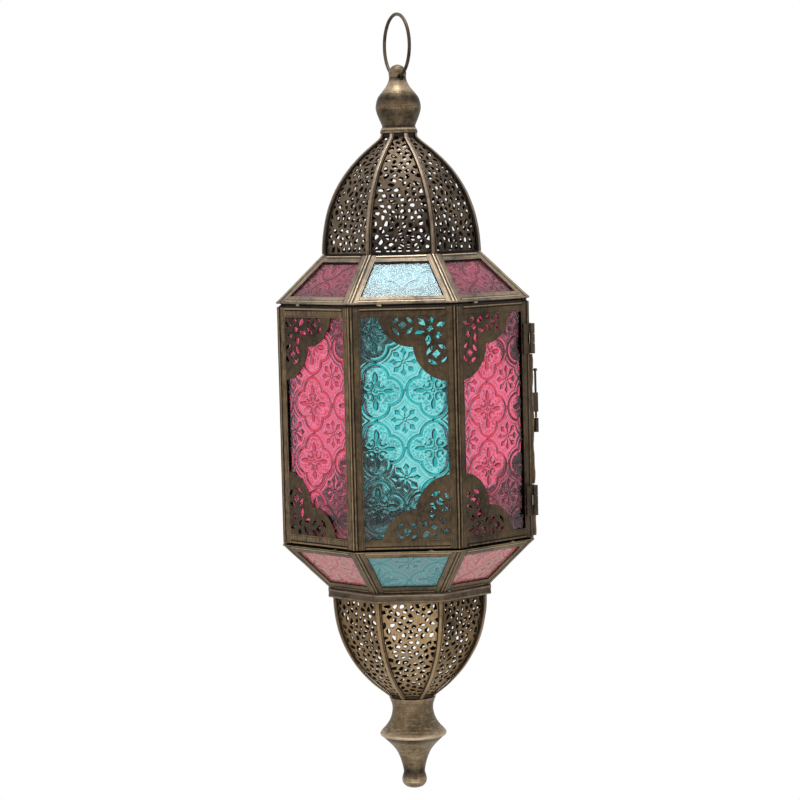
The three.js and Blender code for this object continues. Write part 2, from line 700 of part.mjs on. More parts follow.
// Collar, dished disc, stem and bead turned in one, with a stud above.
function bottomFinial() {
  const top = BOWL_FOOT_Z - FIT;
  const flare = new THREE.SplineCurve([
    new THREE.Vector2(FOOT_WAIST_RADIUS, FOOT_WAIST_DEPTH),
    new THREE.Vector2(THREE.MathUtils.lerp(FOOT_WAIST_RADIUS, DISC_RADIUS, 0.3), DISC_DEPTH - 7),
    new THREE.Vector2(DISC_RADIUS, DISC_DEPTH),
  ]);
  const stem = new THREE.SplineCurve([
    new THREE.Vector2(DISC_RADIUS * 0.95, DISC_DEPTH + 1.5),
    new THREE.Vector2((DISC_RADIUS + STEM_RADIUS) * 0.4, THREE.MathUtils.lerp(DISC_DEPTH, STEM_DEPTH, 0.46)),
    new THREE.Vector2(STEM_RADIUS, STEM_DEPTH),
    new THREE.Vector2(TIP_RADIUS, TIP_DEPTH),
    new THREE.Vector2(TIP_RADIUS * 0.45, BOTTOM_FINIAL_HEIGHT),
  ]);
  return turned([
    [0, top + STUD_LENGTH],
    [STUD_RADIUS, top + STUD_LENGTH],
    [STUD_RADIUS, top],
    [FOOT_COLLAR_RADIUS, top],
    ...flare.getPoints(5).map((point) => [point.x, top - point.y]),
    ...stem.getPoints(7).map((point) => [point.x, top - point.y]),
    [0, top - BOTTOM_FINIAL_HEIGHT],
  ], TURNED_SIDES);
}

// Ribs between an octagonal flange at the foot and a round plate at the crown.
function domeCage() {
  const foot = DOME_BASE_Z + FIT;
  const flange = shellFlange(DOME_BASE_RADIUS, foot, foot + FLANGE_THICKNESS);
  const plateRadius = DOME_TOP_RADIUS - RIB_THICKNESS / 2;
  const crown = upright(plateRadius, DOME_TOP_Z - END_PLATE, DOME_TOP_Z, TURNED_SIDES);
  const cage = common(join([flange, crown, ...ribs(domeCurve)]), block(LARGE, LARGE, foot, DOME_TOP_Z));
  return cut(cage, [studHole(DOME_TOP_Z - END_PLATE - 1, DOME_TOP_Z + 1)]);
}

function domeGore() {
  const start = FLANGE_THICKNESS + FIT;
  const end = 2 * END_PLATE + FIT;
  return gore(domeCurve, start, end, -RIB_THICKNESS - FIT, FIT / 2);
}

// The shell's outside as a solid: gores that meet under ribs.
function ribbedSolid(curve) {
  const rings = [];
  for (let step = 0; step <= CURVE_STEPS; step++) {
    const share = shareAtStep(curve, step);
    const halfWidth = ribHalfWidth(share);
    const crest = offsetPoint(curve, share, 0);
    const sheet = offsetPoint(curve, share, -RIB_THICKNESS);
    const sheetRadius = sheet.x - halfWidth * Math.tan(HALF_TURN);
    const ring = [];
    for (let corner = 0; corner < FACES; corner++) {
      const [outward, sideways] = cornerAxes(corner);
      const at = (radius, x, z) =>
        outward.clone().multiplyScalar(radius).addScaledVector(sideways, x).setZ(z);
      ring.push(at(sheetRadius, -halfWidth, sheet.y), at(crest.x, -halfWidth, crest.y));
      ring.push(at(crest.x, halfWidth, crest.y), at(sheetRadius, halfWidth, sheet.y));
    }
    rings.push(ring);
  }
  return loft(rings, false);
}

// The shell's hollow as a solid, closed by a plate at the curve's end and narrowed by a flange at its start.
function shellHollow(curve) {
  const side = Math.sign(curve.v3.y - curve.v0.y);
  const depth = -RIB_THICKNESS - SHEET;
  const outline = [];
  for (let step = 0; step <= CURVE_STEPS; step++) {
    outline.push(offsetPoint(curve, shareAtStep(curve, step), depth));
  }
  const mouth = outline[0].clone().setX(outline[0].x - FLANGE_WIDTH);
  const beyond = mouth.clone().setY(curve.v0.y - side);
  const flangeBack = curve.v0.y + side * FLANGE_THICKNESS;
  outline[0].setY(flangeBack);
  outline.unshift(beyond, mouth.setY(flangeBack));
  const end = outline[outline.length - 1];
  end.setY(curve.v3.y - side * END_PLATE);
  const rings = outline.map((point) => Array.from({ length: FACES }, (_, corner) => {
    const [outward] = cornerAxes(corner);
    return outward.multiplyScalar(point.x).setZ(point.y);
  }));
  return loft(rings, false);
}

// The bowl's gores, ribs, flange and foot plate are soldered into one piece, and then pierced.
function bowl() {
  const outside = common(ribbedSolid(bowlCurve), block(LARGE, LARGE, BOWL_FOOT_Z, BAND_BOTTOM_Z - FIT));
  const bend = faceCurve(bowlCurve);
  const pattern = gorePattern(bend, 2 * FLANGE_THICKNESS, 2 * END_PLATE, -RIB_THICKNESS, 0);
  const piercings = [];
  for (let face = 0; face < FACES; face++) {
    for (const hole of pattern.holes) {
      piercings.push(piercing(bend, pattern, hole).rotateZ(face * FACE_TURN));
    }
  }
  const stud = studHole(BOWL_FOOT_Z - 1, BOWL_FOOT_Z + 2 * END_PLATE);
  return cut(outside, [shellHollow(bowlCurve), stud, ...piercings]);
}

function roofFrame() {
  const rimBottom = ROOF_RIM_Z - ROOF_RIM;
  const rim = rimSection(rimBottom, ROOF_RIM_Z);
  const tabBottom = PANEL_TOP_Z + FIT;
  return slopingFrame(roofPlace, rim, tabBottom, rimBottom + ROOF_RIM / 2, -1, rimBottom, DOME_BASE_Z);
}

function baseFrame() {
  const rimTop = BASE_TOP_Z + BASE_RIM;
  const rim = rimSection(BASE_TOP_Z, rimTop);
  const tabTop = PANEL_BOTTOM_Z - FIT;
  return slopingFrame(basePlace, rim, rimTop - BASE_RIM / 2, tabTop, 1, BASE_FOOT_Z, rimTop);
}

function bowlBand() {
  const top = BASE_FOOT_Z - FIT;
  const inner = BAND_APOTHEM - BAND_WALL;
  const ledge = inner - BAND_LEDGE;
  return octagonalRing([
    [BAND_APOTHEM - BAND_ROUNDING, top],
    [BAND_APOTHEM, top - BAND_ROUNDING],
    [BAND_APOTHEM, BAND_BOTTOM_Z + BAND_ROUNDING],
    [BAND_APOTHEM - BAND_ROUNDING, BAND_BOTTOM_Z],
    [ledge, BAND_BOTTOM_Z],
    [ledge, BAND_BOTTOM_Z + BAND_LEDGE_HEIGHT],
    [inner, BAND_BOTTOM_Z + BAND_LEDGE_HEIGHT],
    [inner, top],
  ]);
}

// An octagonal plate with a slot for air behind each face, resting on the band's ledge.
function candleTray() {
  const apothem = BAND_APOTHEM - BAND_WALL - FIT;
  const radius = apothem / Math.cos(HALF_TURN);
  const outline = [];
  for (let corner = 0; corner < FACES; corner++) {
    const azimuth = (corner + 0.5) * FACE_TURN;
    outline.push(new THREE.Vector2(radius * Math.sin(azimuth), -radius * Math.cos(azimuth)));
  }
  const plate = slab(new THREE.Shape(outline), TRAY_Z, TRAY_Z + TRAY_THICKNESS);
  const tools = [upright(RIVET_RADIUS + FIT, TRAY_Z - 1, CUP_Z, SMALL_SIDES)];
  const slotMiddle = (TRAY_SLOT_INNER + TRAY_SLOT_OUTER) / 2;
  const slotLength = TRAY_SLOT_OUTER - TRAY_SLOT_INNER;
  for (let face = 0; face < FACES; face++) {
    const slot = block(TRAY_SLOT_WIDTH, slotLength, TRAY_Z - 1, CUP_Z);
    tools.push(slot.translate(0, -slotMiddle, 0).rotateZ(face * FACE_TURN));
  }
  return cut(plate, tools);
}

// A round cup with a rivet through the tray.
function candleCup() {
  const outer = CUP_INNER_RADIUS + CUP_WALL;
  const floor = CUP_Z + CUP_WALL;
  const rivetTop = TRAY_Z - FIT;
  return turned([
    [0, floor],
    [CUP_INNER_RADIUS, floor],
    [CUP_INNER_RADIUS, CUP_Z + CUP_HEIGHT],
    [outer, CUP_Z + CUP_HEIGHT],
    [outer, CUP_Z],
    [RIVET_RADIUS, CUP_Z],
    [RIVET_RADIUS, rivetTop],
    [RIVET_HEAD_RADIUS, rivetTop],
    [RIVET_HEAD_RADIUS * 0.7, rivetTop - RIVET_HEAD_HEIGHT],
    [0, rivetTop - RIVET_HEAD_HEIGHT],
  ], TURNED_SIDES);
}

// Where the axis of a pin outside a post lies.
function postAxis(corner, standoff) {
  const azimuth = (corner + 0.5) * FACE_TURN;
  const radius = POST_RADIUS + standoff;
  return new THREE.Vector2(radius * Math.sin(azimuth), -radius * Math.cos(azimuth));
}

function knuckle(axis, lowZ, highZ) {
  return upright(BARREL_RADIUS, lowZ, highZ, SMALL_SIDES).translate(axis.x, axis.y, 0);
}

// A plate on a panel's stile that reaches a pin's axis: side 1 is the panel's right stile, -1 its left.
function leafPlate(face, side, standoff, lowZ, highZ) {
  const reach = PANEL_WIDTH / 2 + standoff * Math.sin(HALF_TURN);
  const plate = block(LEAF_PLATE_WIDTH, LEAF_PLATE_THICKNESS, lowZ, highZ);
  const middle = BODY_APOTHEM + FIT + LEAF_PLATE_THICKNESS / 2;
  return plate.translate(side * (reach - LEAF_PLATE_WIDTH / 2), -middle, 0).rotateZ(face * FACE_TURN);
}

function pinBore(axis, lowZ, highZ) {
  const radius = PIN_RADIUS + RUNNING_FIT;
  return upright(radius, lowZ, highZ, SMALL_SIDES).translate(axis.x, axis.y, 0);
}

const hingeAxis = postAxis(DOOR_FACE - 1, BARREL_STANDOFF);
const latchAxis = postAxis(DOOR_FACE, LATCH_STANDOFF);

// The hinge half on the fixed panel: a leaf, two knuckles and the pin.
function postHinge(middleZ) {
  const low = middleZ - HINGE_HEIGHT / 2;
  const high = middleZ + HINGE_HEIGHT / 2;
  const third = HINGE_HEIGHT / 3;
  const doorKnuckleSpace = block(4 * BARREL_RADIUS, 4 * BARREL_RADIUS, low + third, high - third)
    .rotateZ((DOOR_FACE - 0.5) * FACE_TURN)
    .translate(hingeAxis.x, hingeAxis.y, 0);
  const leaf = cut(leafPlate(DOOR_FACE - 1, 1, BARREL_STANDOFF, low, high), [doorKnuckleSpace]);
  const pin = upright(PIN_RADIUS, low, high, SMALL_SIDES).translate(hingeAxis.x, hingeAxis.y, 0);
  return join([leaf, knuckle(hingeAxis, low, low + third), knuckle(hingeAxis, high - third, high), pin]);
}

// The hinge half on the door: a leaf and the middle knuckle, bored for the pin.
function doorHinge(middleZ) {
  const low = middleZ - HINGE_HEIGHT / 2;
  const high = middleZ + HINGE_HEIGHT / 2;
  const third = HINGE_HEIGHT / 3;
  const space = 2 * (BARREL_RADIUS + FIT);
  const keepOut = [
    block(space, space, low - 1, low + third + FIT).translate(hingeAxis.x, hingeAxis.y, 0),
    block(space, space, high - third - FIT, high + 1).translate(hingeAxis.x, hingeAxis.y, 0),
  ];
  const leaf = cut(leafPlate(DOOR_FACE, -1, BARREL_STANDOFF, low, high), keepOut);
  const barrel = knuckle(hingeAxis, low + third + FIT, high - third - FIT);
  return cut(join([leaf, barrel]), [pinBore(hingeAxis, low, high)]);
}

const LATCH_UPPER_TOP = PANEL_TOP_Z - LATCH_TOP_DROP;
const LATCH_UPPER_BOTTOM = LATCH_UPPER_TOP - LATCH_UPPER_HEIGHT;
const LATCH_LOWER_TOP = LATCH_UPPER_BOTTOM - LATCH_KNUCKLE_GAP;
const LATCH_LOWER_BOTTOM = LATCH_LOWER_TOP - LATCH_LOWER_HEIGHT;

// One half of the latch: a plate on the stile, and an arm that carries its knuckle out to the pin.
function latchKnuckle(face, side, lowZ, highZ) {
  const armLength = LATCH_STANDOFF - FIT;
  const arm = block(LATCH_ARM_THICKNESS, armLength, lowZ, highZ)
    .translate((-side * LATCH_ARM_THICKNESS) / 2, -POST_RADIUS - FIT - armLength / 2, 0)
    .rotateZ((face + side / 2) * FACE_TURN);
  const plate = leafPlate(face, side, 0, lowZ, highZ);
  const body = join([plate, arm, knuckle(latchAxis, lowZ, highZ)]);
  return cut(body, [pinBore(latchAxis, lowZ - 1, highZ + 1)]);
}

// The pin, drawn up until its tip is just clear of the lower knuckle.
function latchPin() {
  const tip = LATCH_LOWER_TOP + FIT;
  const head = LATCH_UPPER_TOP + FIT + LATCH_PIN_TRAVEL;
  const profile = [
    [0, head + LATCH_PIN_HEAD_HEIGHT],
    [LATCH_PIN_HEAD_RADIUS * 0.7, head + LATCH_PIN_HEAD_HEIGHT],
    [LATCH_PIN_HEAD_RADIUS, head],
    [PIN_RADIUS, head],
    [PIN_RADIUS, tip],
    [0, tip],
  ];
  return turned(profile, SMALL_SIDES).translate(latchAxis.x, latchAxis.y, 0);
}

const lantern = new THREE.Group();

function addPiece(name, geometry, material) {
  const flat = geometry.index ? geometry.toNonIndexed() : geometry;
  flat.computeVertexNormals();
  const piece = new THREE.Mesh(flat, material);
  piece.name = name;
  lantern.add(piece);
  return piece;
}

// Stands a panel's own axes on a face of the octagon.
function standOnFace(piece, face, apothem, z, lean) {
  const turn = new THREE.Group();
  turn.rotation.z = face * FACE_TURN;
  piece.position.set(0, -apothem, z);
  piece.rotation.x = lean;
  turn.add(piece);
  lantern.add(turn);
}

addPiece("hanging_ring", hangingRing(), darkBrass);
addPiece("top_finial", topFinial(), agedBrass);
addPiece("crown_nut", nut(DOME_TOP_Z - END_PLATE - FIT - NUT_HEIGHT), agedBrass);
addPiece("dome_cage", domeCage(), agedBrass);
addPiece("roof_frame", roofFrame(), agedBrass);
addPiece("base_frame", baseFrame(), agedBrass);
addPiece("bowl_band", bowlBand(), agedBrass);
addPiece("bowl", bowl(), agedBrass);
addPiece("bottom_finial", bottomFinial(), agedBrass);
addPiece("foot_nut", nut(BOWL_FOOT_Z + END_PLATE + FIT), agedBrass);
addPiece("candle_tray", candleTray(), darkBrass);
addPiece("candle_cup", candleCup(), agedBrass);

const panelOutline = symmetricOutline(PANEL_WIDTH, PANEL_WIDTH, PANEL_HEIGHT);
const goreGeometry = domeGore();
for (let face = 0; face < FACES; face++) {
  const number = face + 1;
  const isPink = face % PINK_FACES === 1;
  const glass = isPink ? pinkGlass : tealGlass;
  const isDoor = face === DOOR_FACE;

  const domePiece = addPiece(`dome_gore_${number}`, goreGeometry.clone(), agedBrass);
  domePiece.rotation.z = face * FACE_TURN;

  const roofPane = addPiece(`roof_glass_${number}`, pane(roofPlace.outline, SLOPE_CHANNEL_WIDTH), glass);
  standOnFace(roofPane, face, roofPlace.apothem, roofPlace.z, roofPlace.lean);

  const frameName = isDoor ? "door_frame" : `side_frame_${number}`;
  const frame = addPiece(frameName, sideFrame(isPink ? -1 : 1), agedBrass);
  standOnFace(frame, face, BODY_APOTHEM, PANEL_BOTTOM_Z, UPRIGHT);

  const paneName = isDoor ? "door_glass" : `side_glass_${number}`;
  const sidePane = addPiece(paneName, pane(panelOutline, PANEL_CHANNEL_WIDTH), glass);
  standOnFace(sidePane, face, BODY_APOTHEM, PANEL_BOTTOM_Z, UPRIGHT);

  const basePane = addPiece(`base_glass_${number}`, pane(basePlace.outline, SLOPE_CHANNEL_WIDTH), glass);
  standOnFace(basePane, face, basePlace.apothem, basePlace.z, basePlace.lean);
}

for (const [place, z] of [["upper", PANEL_TOP_Z - HINGE_INSET], ["lower", PANEL_BOTTOM_Z + HINGE_INSET]]) {
  addPiece(`${place}_hinge_post_leaf`, postHinge(z), darkBrass);
  addPiece(`${place}_hinge_door_leaf`, doorHinge(z), darkBrass);
}
const doorKnuckle = latchKnuckle(DOOR_FACE, 1, LATCH_UPPER_BOTTOM, LATCH_UPPER_TOP);
const postKnuckle = latchKnuckle(DOOR_FACE + 1, -1, LATCH_LOWER_BOTTOM, LATCH_LOWER_TOP);
addPiece("latch_door_knuckle", doorKnuckle, darkBrass);
addPiece("latch_post_knuckle", postKnuckle, darkBrass);
addPiece("latch_pin", latchPin(), darkBrass);

export default lantern;
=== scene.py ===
import math
import random

import bpy
import numpy as np
from mathutils import Matrix, Vector, noise
from mathutils.geometry import delaunay_2d_cdt


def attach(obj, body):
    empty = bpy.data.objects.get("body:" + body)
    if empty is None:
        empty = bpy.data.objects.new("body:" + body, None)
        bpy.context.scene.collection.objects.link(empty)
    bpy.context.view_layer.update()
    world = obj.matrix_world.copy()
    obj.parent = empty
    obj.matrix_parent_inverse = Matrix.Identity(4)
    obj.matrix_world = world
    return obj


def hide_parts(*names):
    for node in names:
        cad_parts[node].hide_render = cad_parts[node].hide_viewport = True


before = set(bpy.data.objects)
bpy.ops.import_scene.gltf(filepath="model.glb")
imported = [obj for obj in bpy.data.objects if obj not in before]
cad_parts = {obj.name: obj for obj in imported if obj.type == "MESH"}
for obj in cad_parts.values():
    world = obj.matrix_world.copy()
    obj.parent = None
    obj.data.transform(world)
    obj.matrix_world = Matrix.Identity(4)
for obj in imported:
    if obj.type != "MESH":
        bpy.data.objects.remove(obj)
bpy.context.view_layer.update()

MM = 0.001
FACES = 8
FACE_TURN = 2 * math.pi / FACES
HALF_TURN = FACE_TURN / 2
DOOR_FACE = 2
FIT = 0.3
# Painted shade: the rub of a surface that lies in the dark, lower than any recess's
PAINTED_SHADE_RUB = -2
# The angle from which an edge is shaded sharp
SHARP_ANGLE = math.radians(38)

# Hanging ring and top finial
RING_DIAMETER = 38
RING_WIRE = 2
RING_AZIMUTH = math.radians(24)
RING_MIDDLE_Z = RING_WIRE - RING_DIAMETER / 2
RING_BEND_RADIUS = (RING_DIAMETER - RING_WIRE) / 2
EYE_Z = RING_MIDDLE_Z - RING_BEND_RADIUS
EYE_RADIUS = 2.1
TOP_FINIAL_HEIGHT = 32.8
BALL_RADIUS = 5.15
BALL_DROP = 1.95
STUD_RADIUS = 2.5
STUD_LENGTH = 7

# Dome and bowl, measured over their ribs
DOME_HEIGHT = 68.7
DOME_BASE_RADIUS = 48.9
DOME_TOP_RADIUS = 10.9
DOME_SHOULDER = (0.997, 0.75)
DOME_NECK = (0.74, 0.937)
DOME_SEAT = 0.47
BOWL_DEPTH = 62.3
BOWL_TOP_RADIUS = 47.8
BOWL_FOOT_RADIUS = 14
BOWL_SHOULDER = (1.002, 0.683)
BOWL_NECK = (1.057, 0.965)
BOWL_SEAT = 3.2
SHEET = 0.8
RIB_THICKNESS = 1.2
RIB_FOOT_WIDTH = 3.9
RIB_TOP_WIDTH = 2.6
FLANGE_THICKNESS = 1
FLANGE_WIDTH = 4.5
END_PLATE = 1.5
# Steps along a shell's curve
CURVE_STEPS = 599

# Piercing of the shells
HOLE_PITCH = 4.6
HOLE_LENGTH = 5.4
HOLE_WIDTH = 2.45
HOLE_STRUT = 1.35
HOLE_MARGIN = 0.9
HOLE_CHAMFER = 0.14

# Glass body
BODY_APOTHEM = 72
PANEL_HEIGHT = 136
ROOF_RISE = 25.8
ROOF_GAP = 2.7
ROOF_RIM = 1
BASE_DROP = 26.9
BASE_GAP = 1.6
BASE_RIM = 0.6
BASE_SEAT = 1.1
RIM_WIDTH = 5
RIM_OVERHANG = 0.3
TAB_OFFSET = 13
TAB_DEPTH = 1.3
TAB_HALF_WIDTH = 1.7
TAB_PROUD = 1.2
TAB_OVERLAP = 1.15
LIP_PROUD = 1.6

# Channel round each pane, with depths counted inwards from its crest
PANEL_CHANNEL_WIDTH = 5.9
SLOPE_CHANNEL_WIDTH = 5
GROOVE_REACH = 1.7
LIP_DROP = 0.5
LIP_THICKNESS = 0.7
BACK_LIP = 0.6
# How rubbed a channel's outer crest is, and the painted highlight added to it along the top rail
CREST_RUB = 0.5
TOP_RAIL_PAINTED_HIGHLIGHT = 0.7
GLASS_THICKNESS = 1.6
GROOVE_FRONT = LIP_DROP + LIP_THICKNESS
GLASS_FRONT = GROOVE_FRONT + FIT
GROOVE_BACK = GLASS_FRONT + GLASS_THICKNESS + FIT
CHANNEL_DEPTH = GROOVE_BACK + BACK_LIP

# Band, hinges and latch
BAND_HEIGHT = 5.3
BAND_WALL = 3.8
BAND_LEDGE = 3.5
BAND_LEDGE_HEIGHT = 1.5
BOTTOM_FINIAL_HEIGHT = 54.8
HINGE_HEIGHT = 17.3
HINGE_INSET = 21.5

# Heights down from the ring's inner top, and the sizes that follow
DOME_TOP_Z = EYE_Z - TOP_FINIAL_HEIGHT
DOME_BASE_Z = DOME_TOP_Z - DOME_HEIGHT
ROOF_RIM_Z = DOME_BASE_Z - ROOF_RISE
PANEL_TOP_Z = ROOF_RIM_Z - ROOF_GAP
PANEL_BOTTOM_Z = PANEL_TOP_Z - PANEL_HEIGHT
BASE_TOP_Z = PANEL_BOTTOM_Z - BASE_GAP
BASE_FOOT_Z = BASE_TOP_Z - BASE_DROP
BAND_BOTTOM_Z = BASE_FOOT_Z - BAND_HEIGHT
BOWL_FOOT_Z = BAND_BOTTOM_Z - BOWL_DEPTH
ROOF_TOP_APOTHEM = DOME_BASE_RADIUS * math.cos(HALF_TURN) + DOME_SEAT
BAND_APOTHEM = BOWL_TOP_RADIUS * math.cos(HALF_TURN) + BOWL_SEAT
BASE_FOOT_APOTHEM = BAND_APOTHEM - BASE_SEAT
PANEL_WIDTH = 2 * BODY_APOTHEM * math.tan(HALF_TURN)

# The embossing repeats on a square grid, with quatrefoils at its corners and flowers in its cells.
EMBOSS_GRID = 32.4
EMBOSS_STEP = 0.4
# How much of the drawn height of the embossing each tier has
PANEL_RELIEF = 0.6
SLOPE_RELIEF = 0.3
# Where a quatrefoil lies on each face's panes, right of the middle and down from the top
EMBOSS_PLACES = [(-16.1, 47.0), (-4.4, 60), (6, 52), (-12, 44), (9, 57), (-7, 49), (14, 62), (-3, 55)]

# Both kinds of chance are seeded, so that each run gives the same shapes.
random.seed(7)
noise.seed_set(7)


# Shapes: corners in millimetres, faces, and at each corner its wear and painted light (-1 in a recess, 1 on a
# crest, with painted shade and painted highlights added) and the grain, which runs along x in millimetres. In
# place of the grain, glass has its distances from the pattern and the lean of its flanks for painted shade.
class Shape:
    def __init__(self, points, faces, wear_and_painted_light, grain):
        self.points = np.asarray(points, float)
        self.faces = [tuple(int(i) for i in face) for face in faces]
        self.wear_and_painted_light = np.broadcast_to(np.asarray(wear_and_painted_light, float), (len(self.points),)).copy()
        self.grain = np.asarray(grain, float)

    def moved(self, matrix):
        m = np.array(matrix, float)
        points = self.points @ m[:3, :3].T + m[:3, 3]
        faces = self.faces if np.linalg.det(m[:3, :3]) > 0 else [face[::-1] for face in self.faces]
        return Shape(points, faces, self.wear_and_painted_light, self.grain)


def merged(shapes):
    points, faces, wear_and_painted_light, grain = [], [], [], []
    count = 0
    for number, shape in enumerate(shapes):
        points.append(shape.points)
        faces += [tuple(i + count for i in face) for face in shape.faces]
        wear_and_painted_light.append(shape.wear_and_painted_light)
        grain.append(shape.grain + [0, 0, 17.3 * number])
        count += len(shape.points)
    return Shape(np.concatenate(points), faces, np.concatenate(wear_and_painted_light), np.concatenate(grain))


def facing_out(points, faces):
    volume = 0
    for face in faces:
        first = points[face[0]]
        for i in range(1, len(face) - 1):
            volume += np.dot(first, np.cross(points[face[i]], points[face[i + 1]]))
    return faces if volume > 0 else [face[::-1] for face in faces]


def faces_between(rings, corners, is_loop=False):
    """Four-cornered faces between each ring of corners and the next."""
    faces = []
    for ring in range(rings if is_loop else rings - 1):
        here, there = ring * corners, (ring + 1) % rings * corners
        for i in range(corners):
            j = (i + 1) % corners
            faces.append((here + i, here + j, there + j, there + i))
    return faces


def loft(rings, wear_and_painted_light=0.0, is_loop=False):
    """A skin through rings of corners. A loop joins its ends, and any other loft is capped."""
    rings = np.asarray(rings, float)
    count, corners = rings.shape[:2]
    faces = faces_between(count, corners, is_loop)
    if not is_loop:
        faces.append(tuple(range(corners))[::-1])
        faces.append(tuple(range((count - 1) * corners, count * corners)))
    steps = np.linalg.norm(np.diff(rings.mean(axis=1), axis=0), axis=1)
    along = np.concatenate([[0], np.cumsum(steps)])
    around = np.concatenate([[0], np.cumsum(np.linalg.norm(np.diff(rings[0], axis=0), axis=1))])
    grain = np.stack([np.repeat(along, corners), np.tile(around, count), np.zeros(count * corners)], axis=1)
    points = rings.reshape(-1, 3)
    wear_and_painted_light = np.broadcast_to(np.asarray(wear_and_painted_light, float), (count, corners)).reshape(-1)
    return Shape(points, facing_out(points, faces), wear_and_painted_light, grain)


def turned(profile, sides):
    """A solid turned about Z from [radius, z, wear and painted light] that starts and ends on the axis. Its
    grain runs round.
    """
    profile = np.asarray(profile, float)
    middle = profile[1:-1]
    angles = np.arange(sides) * 2 * math.pi / sides
    directions = np.stack([np.cos(angles), np.sin(angles), np.zeros(sides)], axis=1)
    points = (directions[None] * middle[:, None, :1]).reshape(-1, 3)
    points[:, 2] = np.repeat(middle[:, 1], sides)
    run = np.concatenate([[0], np.cumsum(np.linalg.norm(np.diff(middle[:, :2], axis=0), axis=1))])
    # the grain closes on itself because it runs along a circle, not along the angle
    grain = np.stack([points[:, 0] * 0.2, points[:, 1] * 0.2, np.repeat(run, sides)], axis=1)[:, [0, 2, 1]]
    faces = faces_between(len(middle), sides)
    first, last = len(points), len(points) + 1
    ends = [[0, 0, profile[0, 1]], [0, 0, profile[-1, 1]]]
    base = (len(middle) - 1) * sides
    for i in range(sides):
        j = (i + 1) % sides
        faces.append((first, j, i))
        faces.append((last, base + i, base + j))
    points = np.concatenate([points, ends])
    grain = np.concatenate([grain, [[0, 0, 0], [0, run[-1], 0]]])
    wear_and_painted_light = np.concatenate([np.repeat(middle[:, 2], sides), [profile[0, 2], profile[-1, 2]]])
    return Shape(points, facing_out(points, faces), wear_and_painted_light, grain)


def smooth_line(knots, steps):
    """A Catmull-Rom line through the knots, with the given steps between each two."""
    knots = np.asarray(knots, float)
    padded = np.concatenate([2 * knots[:1] - knots[1:2], knots, 2 * knots[-1:] - knots[-2:-1]])
    line = []
    for i in range(len(knots) - 1):
        a, b, c, d = padded[i:i + 4]
        for t in np.arange(steps) / steps:
            line.append(0.5 * (2 * b + (c - a) * t + (2 * a - 5 * b + 4 * c - d) * t ** 2
                               + (3 * b - a - 3 * c + d) * t ** 3))
    line.append(knots[-1])
    return np.array(line)


def uneven(shape, size, reach):
    """The shape with its corners shifted by a slow noise, as hand work is."""
    points = shape.points.copy()
    for i, point in enumerate(points):
        shift = noise.noise_vector(Vector(point / size))
        points[i] = point + np.array(shift) * reach
    return Shape(points, shape.faces, shape.wear_and_painted_light, shape.grain)


def in_scene(name, data):
    thing = bpy.data.objects.new(name, data)
    bpy.context.scene.collection.objects.link(thing)
    return thing


def mesh_of(name, shape):
    mesh = bpy.data.meshes.new(name)
    mesh.from_pydata((shape.points * MM).tolist(), [], shape.faces)
    return mesh


def add_piece(name, shape, body, material, stands_for=()):
    mesh = mesh_of(name, shape)
    mesh.validate()
    mesh.attributes.new("wear_and_painted_light", "FLOAT", "POINT").data.foreach_set("value", shape.wear_and_painted_light.astype(np.float32))
    grain = shape.grain.astype(np.float32).ravel()
    mesh.attributes.new("grain", "FLOAT_VECTOR", "POINT").data.foreach_set("vector", grain)
    mesh.shade_smooth()
    mesh.set_sharp_from_angle(angle=SHARP_ANGLE)
    mesh.materials.append(material)
    piece = in_scene(name, mesh)
    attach(piece, body)
    if stands_for:
        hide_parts(*stands_for)
    return piece


def panel_place(face, apothem, z, lean):
    """From a panel's own axes, x to its right, y up and z outward, to its place on a face."""
    turn = Matrix.Rotation(face * FACE_TURN, 4, "Z")
    return turn @ Matrix.Translation((0, -apothem, z)) @ Matrix.Rotation(lean, 4, "X")


def mitre_slope(lean):
    return math.tan(math.asin(math.sin(lean) * math.sin(HALF_TURN)))


def symmetric_outline(bottom_width, top_width, height):
    return np.array([
        [-bottom_width / 2, 0], [bottom_width / 2, 0], [top_width / 2, height], [-top_width / 2, height]])


def inset_outline(outline, inset):
    """A convex outline's corners, moved in by the same distance from every edge."""
    into = outline - np.roll(outline, 1, axis=0)
    into /= np.linalg.norm(into, axis=1)[:, None]
    away = np.roll(into, -1, axis=0)
    first = np.stack([-into[:, 1], into[:, 0]], axis=1)
    second = np.stack([-away[:, 1], away[:, 0]], axis=1)
    share = inset / (1 + np.sum(first * second, axis=1))
    return outline + (first + second) * share[:, None]


def corner_axes(corner):
    azimuth = (corner + 0.5) * FACE_TURN
    outward = np.array([math.sin(azimuth), -math.cos(azimuth), 0])
    sideways = np.array([math.cos(azimuth), math.sin(azimuth), 0])
    return outward, sideways


